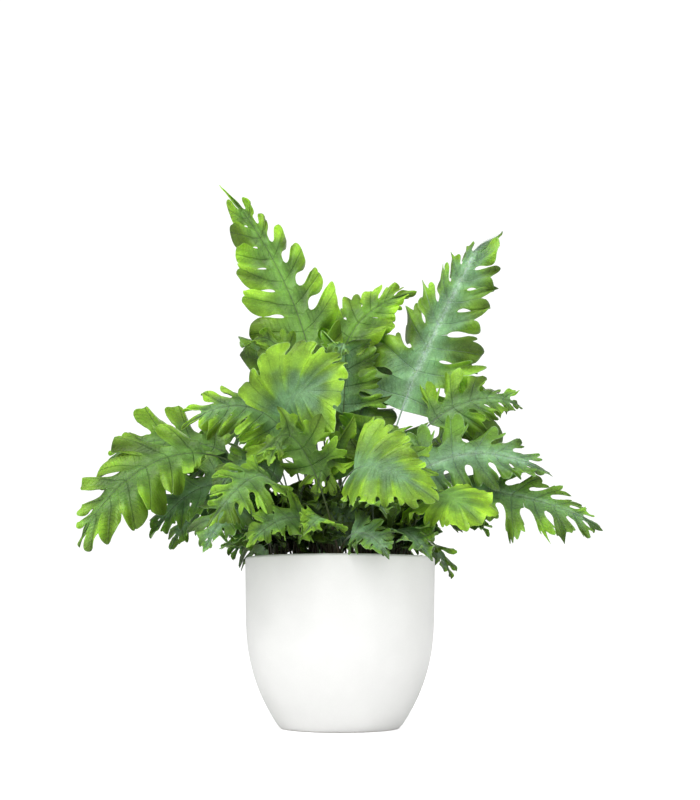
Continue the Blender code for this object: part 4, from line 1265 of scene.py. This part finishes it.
def grow_frond(name, frond, lobes, dress, turn, materials, thickness):
    """A frond's blade with its thickness, and a round stalk and rib joined to it."""
    foot = foot_of(frond)
    points, faces, values = blade_parts(frond, lobes, dress)
    blade = mesh_object(name, (points - foot) @ turn.T + foot, faces, values)
    bm = bmesh.new()
    bm.from_mesh(blade.data)
    bmesh.ops.remove_doubles(bm, verts=bm.verts, dist=MERGE * MM)
    bm.to_mesh(blade.data)
    bm.free()
    thick = blade.modifiers.new("Thickness", "SOLIDIFY")
    thick.thickness = thickness
    thick.offset = 0
    apply_modifier(blade, thick)
    shares = np.linspace(0, RIB_REACH, 2 * dress.fine)
    end = lobes.rows[-1]
    line = lobes.rib.at(shares)[0] + lobes.leaning((shares - end) / (1 - end))
    line = (line - foot) @ turn.T + foot
    sunk = FAN_SUNK if frond.kind == "fan" else RIB_SUNK
    thin = 1 - sunk * smooth((shares - frond.stalk) / SINKING)
    half = RIB_SLIM * lobes.rib.half(shares) * thin
    sides = RIB_SIDES[0] if dress.fine > YOUNG_FINE else RIB_SIDES[1]
    points, faces = tube_parts(line, half, sides)
    rib = mesh_object(name + "_rib", points, faces, {"edge": np.repeat(shares, sides)})
    for obj, made in ((blade, materials[0]), (rib, materials[1])):
        obj.data.materials.append(made)
    join(blade, rib)
    # light holds the frond's lightness, which is partly painted shade
    for title in ("bloom", "fresh", "light", "pale"):
        put_attribute(blade.data, title, np.full(len(blade.data.vertices), getattr(dress, title)))
    blade.data.shade_smooth()
    blade.data.set_sharp_from_angle(angle=math.radians(SHARP["blade"]))
    return blade


def young_fronds(count):
    """Small fronds that stand between the stalks of the large ones, all round."""
    rng = np.random.default_rng(YOUNG_SEED)
    fronds = []
    for n in range(count):
        heading = 360 * (n + rng.uniform(-0.4, 0.4)) * GOLDEN % 360
        arm = arm_towards(heading) % ARM_COUNT
        place = YOUNG_PLACES[0] + YOUNG_PLACES[1] * math.sqrt((n + 0.5) / count)
        out = level_way(heading)
        start = ARM_START + SOCKET_FIRST + place * SOCKET_SPACING
        reach = start + rng.uniform(*YOUNG_REACH)
        height = rng.uniform(*YOUNG_HEIGHT) - 0.25 * start
        lowest = YOUNG_LOWEST[1] if reach > LIP_REACH else YOUNG_LOWEST[0]
        tip = out * reach + UP * max(height, lowest)
        bend = out * (start + 0.45 * (reach - start)) + UP * (tip[2] + rng.uniform(*YOUNG_ARCH))
        face = unit(out + UP * rng.uniform(0.2, 0.9) + rng.normal(0, 0.3, 3))
        shape = (YOUNG_STALK, rng.uniform(*YOUNG_WIDTH), 3, "ovate", rng.uniform(0, 1), 200 + n)
        lines = tuple(bend), tuple(tip), tuple(face)
        fronds.append(Frond(f"young_{n + 1}", arm, place, *lines, *shape))
    return fronds


def pot_profile(steps):
    """Radii and heights of the outer wall up to the lip and of the inner wall down to the floor."""
    curve = [(POT_FOOT_RADIUS, 0), POT_FOOT_PULL, POT_SHOULDER_PULL, POT_SHOULDER]
    outside = [tuple(p) for p in bezier(curve, np.linspace(0, 1, steps + 1))[0]]
    middle = np.array([POT_MOUTH_RADIUS - POT_LIP_RADIUS, POT_HEIGHT - POT_LIP_RADIUS])
    turns = np.linspace(0, math.pi, LIP_STEPS + 1)
    lip = [middle + POT_LIP_RADIUS * np.array([math.cos(a), math.sin(a)]) for a in turns]
    shoulder = np.array(POT_SHOULDER)
    parts = range(1, STRAIGHT_STEPS)
    straight = [tuple(shoulder + (lip[0] - shoulder) * k / STRAIGHT_STEPS) for k in parts]
    inside = [(r - POT_WALL, z) for r, z in outside + straight if z > POT_FLOOR + 3]
    floor = [(inside[0][0] - 3, POT_FLOOR + 0.8), (inside[0][0] - 6, POT_FLOOR)]
    outer = [p for p in outside if p[1] > FOOT_EDGE[-1][1] + 0.5] + straight
    return [*FOOT_RING, *FOOT_EDGE, *outer, *(tuple(p) for p in lip), *inside[::-1], *floor]


def turn_profile(name, profile, sides):
    """A round body: a disc is extruded ring by ring along a profile and closed on the axis."""
    (radius, height), *rest = profile
    bpy.ops.object.select_all(action="DESELECT")
    disc = {"vertices": sides, "radius": radius * MM, "location": (0, 0, height * MM)}
    bpy.ops.mesh.primitive_circle_add(fill_type="TRIFAN", **disc)
    obj = bpy.context.object
    obj.name = obj.data.name = name
    bpy.ops.object.transform_apply(location=True, rotation=False, scale=False)
    bpy.ops.object.mode_set(mode="EDIT")
    bpy.ops.mesh.select_all(action="DESELECT")
    bpy.ops.object.mode_set(mode="OBJECT")
    for vertex in obj.data.vertices:
        vertex.select = math.hypot(vertex.co.x, vertex.co.y) > radius * MM * 0.5
    for edge in obj.data.edges:
        edge.select = all(obj.data.vertices[v].select for v in edge.vertices)
    bpy.ops.object.mode_set(mode="EDIT")
    bpy.context.tool_settings.mesh_select_mode = (False, True, False)
    for r, z in rest:
        rise = (0, 0, (z - height) * MM)
        bpy.ops.mesh.extrude_region_move(TRANSFORM_OT_translate={"value": rise})
        bpy.ops.transform.resize(value=(r / radius, r / radius, 1), center_override=(0, 0, z * MM))
        radius, height = r, z
    bpy.ops.mesh.extrude_region_move()
    bpy.ops.mesh.merge(type="CENTER")
    bpy.ops.mesh.select_all(action="SELECT")
    bpy.ops.mesh.normals_make_consistent(inside=False)
    bpy.ops.object.mode_set(mode="OBJECT")
    bpy.context.tool_settings.mesh_select_mode = (True, False, False)
    return obj


# Settings that a user would change


def colour_setting(name, description, default):
    return FloatVectorProperty(name=name, description=description, subtype="COLOR", default=default)


def real_setting(name, description, default, **more):
    return FloatProperty(name=name, description=description, default=default, **more)


def count_setting(name, description, default, least):
    return IntProperty(name=name, description=description, default=default, min=least)


class LeafSettings(bpy.types.PropertyGroup):
    """The blades."""

    thickness: real_setting(
        "Thickness", "Thickness of a blade", 0.45 * MM, min=0.0002, unit="LENGTH"
    )
    young: count_setting("Young fronds", "Small fronds between the stalks", 84, 1)
    green: colour_setting("Green", "Plain leaf green", (0.125, 0.262, 0.034))
    bloom: colour_setting("Bloom", "Waxy blue-green of the middle", (0.19, 0.36, 0.175))
    fresh: colour_setting("Fresh", "Yellow-green of the edge", (0.29, 0.52, 0.032))
    vein: colour_setting("Vein", "Colour along the side veins", (0.05, 0.12, 0.03))
    rib: colour_setting("Rib", "Colour of a dark rib", (0.07, 0.13, 0.035))
    pale_rib: colour_setting("Pale rib", "Colour of a waxy rib", (0.36, 0.50, 0.38))
    stalk: colour_setting("Stalk", "Colour at the stalk's foot", (0.06, 0.04, 0.02))


class PotSettings(bpy.types.PropertyGroup):
    """The pot."""

    sides: count_setting("Sides", "Sides of the round pot", 128, 16)
    steps: count_setting("Steps", "Rings on the curved wall", 20, 4)
    glaze: colour_setting("Glaze", "Colour of the glaze", (0.835, 0.835, 0.822))


class SoilSettings(bpy.types.PropertyGroup):
    """The potting soil and the creeping stem."""

    dark: colour_setting("Peat", "Colour of the moist peat", (0.018, 0.011, 0.007))
    light: colour_setting("Crumbs", "Colour of the dry crumbs", (0.085, 0.05, 0.028))
    chips: count_setting("Chips", "Bits of bark on the soil", 220, 0)
    scales: count_setting("Scales", "Scales on each arm of the stem", 320, 0)
    fur: colour_setting("Fur", "Colour of the scales' tips", (0.42, 0.21, 0.065))
    skin: colour_setting("Skin", "Colour at the scales' roots", (0.12, 0.06, 0.025))


class StageSettings(bpy.types.PropertyGroup):
    """The floor, the light and the camera."""

    floor: colour_setting("Floor", "Colour of the floor", (0.82, 0.82, 0.82))
    glow: real_setting("Glow", "Light that the floor gives of itself", 0.62, min=0)
    ambient: real_setting("Ambient", "Strength of the light all round", 0.47, min=0)
    key: real_setting("Key", "Strength of the main light", 2.0, min=0)
    spread: real_setting("Spread", "How wide the main light is", math.radians(32), subtype="ANGLE")
    front: real_setting("Front", "Power of the lamp at the front", 10.4, min=0, unit="POWER")
    fill: real_setting("Fill", "Power of the lamp at the right", 4.4, min=0, unit="POWER")
    back: real_setting("Back", "Power of the lamp behind", 7.0, min=0, unit="POWER")
    lens: real_setting("Lens", "Focal length in millimetres", 60.46, min=10)
    tilt: real_setting("Tilt", "How far the camera looks up", math.radians(9.1), subtype="ANGLE")


def settings(name):
    return getattr(bpy.context.scene, name)


class FERN_OT_pot(bpy.types.Operator):
    """Build the glazed pot"""

    bl_idname = "fern.pot"
    bl_label = "Pot"

    def execute(self, context):
        pot = settings("fern_pot")
        body = turn_profile("glazed_pot", pot_profile(pot.steps), pot.sides)
        body.data.materials.append(glaze_material(pot.glaze))
        body.data.shade_smooth()
        body.data.set_sharp_from_angle(angle=math.radians(SHARP["pot"]))
        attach(body, "root")
        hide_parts("pot")
        return {"FINISHED"}


def inner_radius(height):
    """The pot's inner radius at a height above its floor."""
    outside = [(r, z) for r, z in pot_profile(WALL_STEPS) if r > 45 and z < POT_HEIGHT - 5]
    radii, heights = zip(*((r - POT_WALL, z) for r, z in outside))
    return float(np.interp(height, heights, radii))


def chip_parts(rng, count):
    """Bits of bark: small bent slabs that lie on the soil."""
    points, faces = [], []
    for _ in range(count):
        reach, turn = CHIP_REACH * math.sqrt(rng.uniform(0, 1)), rng.uniform(0, math.tau)
        x, y = reach * math.cos(turn), reach * math.sin(turn)
        size = rng.uniform(*CHIP_SIZE)
        size = size * np.array([1, rng.uniform(0.3, 0.8), rng.uniform(0.15, 0.4)])
        spin = turning((0, 0, 1), rng.uniform(0, math.tau))
        spin = spin @ turning((1, 0, 0), rng.uniform(-0.7, 0.7))
        corners = np.array([(i, j, k) for i in (-1, 1) for j in (-1, 1) for k in (-1, 1)], float)
        corners = corners * size * rng.uniform(0.6, 1.1, (8, 3))
        start = len(points)
        points += list(corners @ spin.T + np.array([x, y, soil_height(x, y) + 0.5 * size[2]]))
        box = ((0, 1, 3, 2), (4, 6, 7, 5), (0, 4, 5, 1), (2, 3, 7, 6), (0, 2, 6, 4), (1, 5, 7, 3))
        faces += shifted(box, start)
    return points, faces


class FERN_OT_soil(bpy.types.Operator):
    """Build the potting soil with its crumbs and bits of bark"""

    bl_idname = "fern.soil"
    bl_label = "Soil"

    def execute(self, context):
        soil = settings("fern_soil")
        foot, *heights = SOIL_HEIGHTS
        wall = [(inner_radius(height) - SOIL_GAP, height) for height in heights]
        reach = wall[-1][0]
        wall.insert(0, (wall[0][0] - SOIL_FOOT_INSET, foot))
        shares = [(SOIL_RINGS - k) / SOIL_RINGS for k in range(1, SOIL_RINGS)]
        top = [(reach * share, SOIL_EDGE_HEIGHT) for share in shares]
        body = turn_profile("potting_soil", wall + top, SOIL_SIDES)
        rng = np.random.default_rng(SOIL_SEED)
        for vertex in body.data.vertices:
            x, y, z = vertex.co / MM
            if z > SOIL_EDGE_HEIGHT - 1 and math.hypot(x, y) < reach - 0.5:
                vertex.co.z = (soil_height(x, y) + rng.normal(0, CRUMBS)) * MM
        body.data.materials.append(soil_material(soil.dark, soil.light))
        points, faces = chip_parts(rng, soil.chips)
        chips = mesh_object("chips", points, faces, {})
        chips.data.materials.append(body.data.materials[0])
        join(body, chips)
        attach(body, "root")
        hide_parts("soil")
        return {"FINISHED"}


def scale_parts(arm, rng, count):
    """Pointed scales that lie along an arm like fur, each a thin three-sided spike."""
    points, faces, edge = [], [], []
    for _ in range(count):
        along = rng.uniform(1.0, ARM_LENGTH + 2)
        middle, way = arm_place(arm, min(along, ARM_LENGTH))
        side = unit(np.cross(UP, way))
        over = np.cross(way, side)
        turn = rng.uniform(-1.5, 1.5)
        out = math.sin(turn) * side + math.cos(turn) * over
        root = middle + way * max(0.0, along - ARM_LENGTH)
        root = root + (arm_radius(min(along, ARM_LENGTH)) - 0.3) * out
        aim = unit(way + 0.35 * out + rng.normal(0, 0.35, 3))
        flat = unit(np.cross(aim, out))
        length, width = rng.uniform(*SCALE_LENGTH), rng.uniform(*SCALE_WIDTH)
        start = len(points)
        points += [root - flat * width, root + flat * width]
        points += [root + out * 0.25, root + aim * length]
        edge += [0.0, 0.0, 0.3, 1.0]
        faces += shifted(((0, 2, 1), (0, 1, 3), (1, 2, 3), (2, 0, 3)), start)
    return points, faces, edge


class FERN_OT_rhizome(bpy.types.Operator):
    """Build the creeping stem with its golden scales"""

    bl_idname = "fern.rhizome"
    bl_label = "Creeping stem"

    def execute(self, context):
        soil = settings("fern_soil")
        rng = np.random.default_rng(FUR_SEED)
        points, faces, edge = [], [], []
        for arm in range(ARM_COUNT):
            alongs = np.linspace(-2.0, ARM_LENGTH, ARM_STEPS)
            line = [arm_place(arm, a)[0] for a in alongs]
            end, way = arm_place(arm, ARM_LENGTH)
            radii = [arm_radius(a) - SKIN_DEPTH for a in alongs]
            last = radii[-1]
            for k in range(1, ARM_END_STEPS):
                turn = k / ARM_END_STEPS * math.pi / 2
                line.append(end + way * ARM_END * math.sin(turn))
                radii.append(last * math.cos(0.96 * turn))
            made, quads = tube_parts(line, radii, ARM_SIDES)
            faces += shifted(quads, len(points))
            points += list(made)
            edge += [0.15] * len(made)
            made, quads, tints = scale_parts(arm, rng, soil.scales)
            faces += shifted(quads, len(points))
            points += made
            edge += tints
        stem = mesh_object("creeping_stem", points, faces, {"edge": edge})
        stem.data.materials.append(fur_material(soil.fur, soil.skin))
        stem.data.shade_smooth()
        stem.data.set_sharp_from_angle(angle=math.radians(SHARP["stem"]))
        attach(stem, "root")
        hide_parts("rhizome")
        return {"FINISHED"}


class FERN_OT_fronds(bpy.types.Operator):
    """Build all the fronds"""

    bl_idname = "fern.fronds"
    bl_label = "Fronds"

    def execute(self, context):
        leaf = settings("fern_leaf")
        materials = leaf_material(leaf), stalk_material(leaf)
        for fronds, turns in ((FRONT_FRONDS, FRONT_TURNS), (tier_fronds(), TIER_TURNS)):
            for frond in fronds:
                lobes = Lobes(frond)
                turn = turn_of(frond, lobes, turns)
                lobes.refine(frond.name)
                dress = dress_of(frond)
                name = f"fern_{frond.name}"
                blade = grow_frond(name, frond, lobes, dress, turn, materials, leaf.thickness)
                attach(blade, "root")
                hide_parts(f"frond_{frond.name}")
        return {"FINISHED"}


class FERN_OT_young(bpy.types.Operator):
    """Build the small young fronds between the stalks"""

    bl_idname = "fern.young"
    bl_label = "Young fronds"

    def execute(self, context):
        leaf = settings("fern_leaf")
        materials = bpy.data.materials["leaf"], bpy.data.materials["stalk"]
        made = []
        for frond in young_fronds(leaf.young):
            # Painted shade: the small fronds among the stalks are drawn dark, each by its own
            # amount
            light = 0.2 + 0.45 * (frond.seed * GOLDEN % 1) ** 1.5
            bloom, fresh = 0.2 + 0.6 * frond.tone, 0.8 - 0.6 * frond.tone
            dress = Dress("leafy", bloom, fresh, light, 0.2, YOUNG_FINE)
            shape = frond.name, frond, Lobes(frond), dress, np.eye(3)
            made.append(grow_frond(*shape, materials, leaf.thickness))
        join(*made)
        made[0].name = made[0].data.name = "young_fronds"
        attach(made[0], "root")
        return {"FINISHED"}


def add_lamp(kind, name, place, aim, **values):
    """A lamp of one kind at a place, turned to its aim."""
    lamp = bpy.data.lights.new(name, kind)
    for title, value in values.items():
        setattr(lamp, title, value)
    obj = bpy.data.objects.new(name, lamp)
    obj.location = place
    obj.rotation_euler = (Vector(aim) - Vector(place)).to_track_quat("-Z", "Y").to_euler()
    bpy.context.scene.collection.objects.link(obj)


def add_floor(stage):
    bpy.ops.object.select_all(action="DESELECT")
    disc = {"vertices": FLOOR_SIDES, "radius": FLOOR_RADIUS, "location": (0, 0, 0)}
    bpy.ops.mesh.primitive_circle_add(fill_type="NGON", **disc)
    floor = bpy.context.object
    floor.name = floor.data.name = "floor"
    floor.data.materials.append(floor_material(stage))


def add_backdrop(stage):
    """Even light from all round, before a backdrop that is brighter for the camera only."""
    world = bpy.data.worlds.new("studio")
    bpy.context.scene.world = world
    world.use_nodes = True
    sky = Shading(world.node_tree)
    seen = sky.add("ShaderNodeLightPath").outputs["Is Camera Ray"]
    strength = sky.plus(stage.ambient, sky.times(seen, BACKDROP - stage.ambient))
    sky.give(world.node_tree.nodes["Background"], {"Color": WHITE, "Strength": strength})


def add_camera(stage):
    lens = bpy.data.cameras.new("camera")
    lens.lens = stage.lens
    camera = bpy.data.objects.new("camera", lens)
    camera.location = CAMERA_PLACE
    camera.rotation_euler = (math.radians(90) + stage.tilt, 0, 0)
    bpy.context.scene.collection.objects.link(camera)
    bpy.context.scene.camera = camera


class FERN_OT_stage(bpy.types.Operator):
    """Build the floor, the light and the camera"""

    bl_idname = "fern.stage"
    bl_label = "Stage"

    def execute(self, context):
        stage = settings("fern_stage")
        add_floor(stage)
        add_backdrop(stage)
        add_lamp("SUN", "key", KEY_FROM, (0, 0, 0), energy=stage.key, angle=stage.spread)
        for name, (place, aim, size) in LAMPS.items():
            power = getattr(stage, name)
            add_lamp("AREA", name, place, aim, shape="DISK", size=size, energy=power)
        add_camera(stage)
        context.scene.view_settings.view_transform = "Standard"
        return {"FINISHED"}


class FERN_PT_panel(bpy.types.Panel):
    """The steps that build the fern"""

    bl_idname = "FERN_PT_panel"
    bl_label = "Blue star fern"
    bl_space_type = "VIEW_3D"
    bl_region_type = "UI"
    bl_category = "Fern"

    def draw(self, context):
        for name, steps in PANEL_ROWS:
            group = getattr(context.scene, name)
            box = self.layout.box()
            for title in group.__annotations__:
                box.prop(group, title)
            for step in steps:
                box.operator(step)


PANEL_ROWS = (
    ("fern_pot", ("fern.pot",)),
    ("fern_soil", ("fern.soil", "fern.rhizome")),
    ("fern_leaf", ("fern.fronds", "fern.young")),
    ("fern_stage", ("fern.stage",)),
)
GROUPS = {
    "fern_pot": PotSettings,
    "fern_soil": SoilSettings,
    "fern_leaf": LeafSettings,
    "fern_stage": StageSettings,
}
CLASSES = (
    *GROUPS.values(),
    FERN_OT_pot,
    FERN_OT_soil,
    FERN_OT_rhizome,
    FERN_OT_fronds,
    FERN_OT_young,
    FERN_OT_stage,
    FERN_PT_panel,
)


def register():
    for made in CLASSES:
        bpy.utils.register_class(made)
    for name, group in GROUPS.items():
        setattr(bpy.types.Scene, name, PointerProperty(type=group))


def unregister():
    for name in GROUPS:
        delattr(bpy.types.Scene, name)
    for made in reversed(CLASSES):
        bpy.utils.unregister_class(made)


def main():
    register()
    bpy.ops.fern.pot()
    bpy.ops.fern.soil()
    bpy.ops.fern.rhizome()
    bpy.ops.fern.fronds()
    bpy.ops.fern.young()
    bpy.ops.fern.stage()


if __name__ == "__main__":
    main()
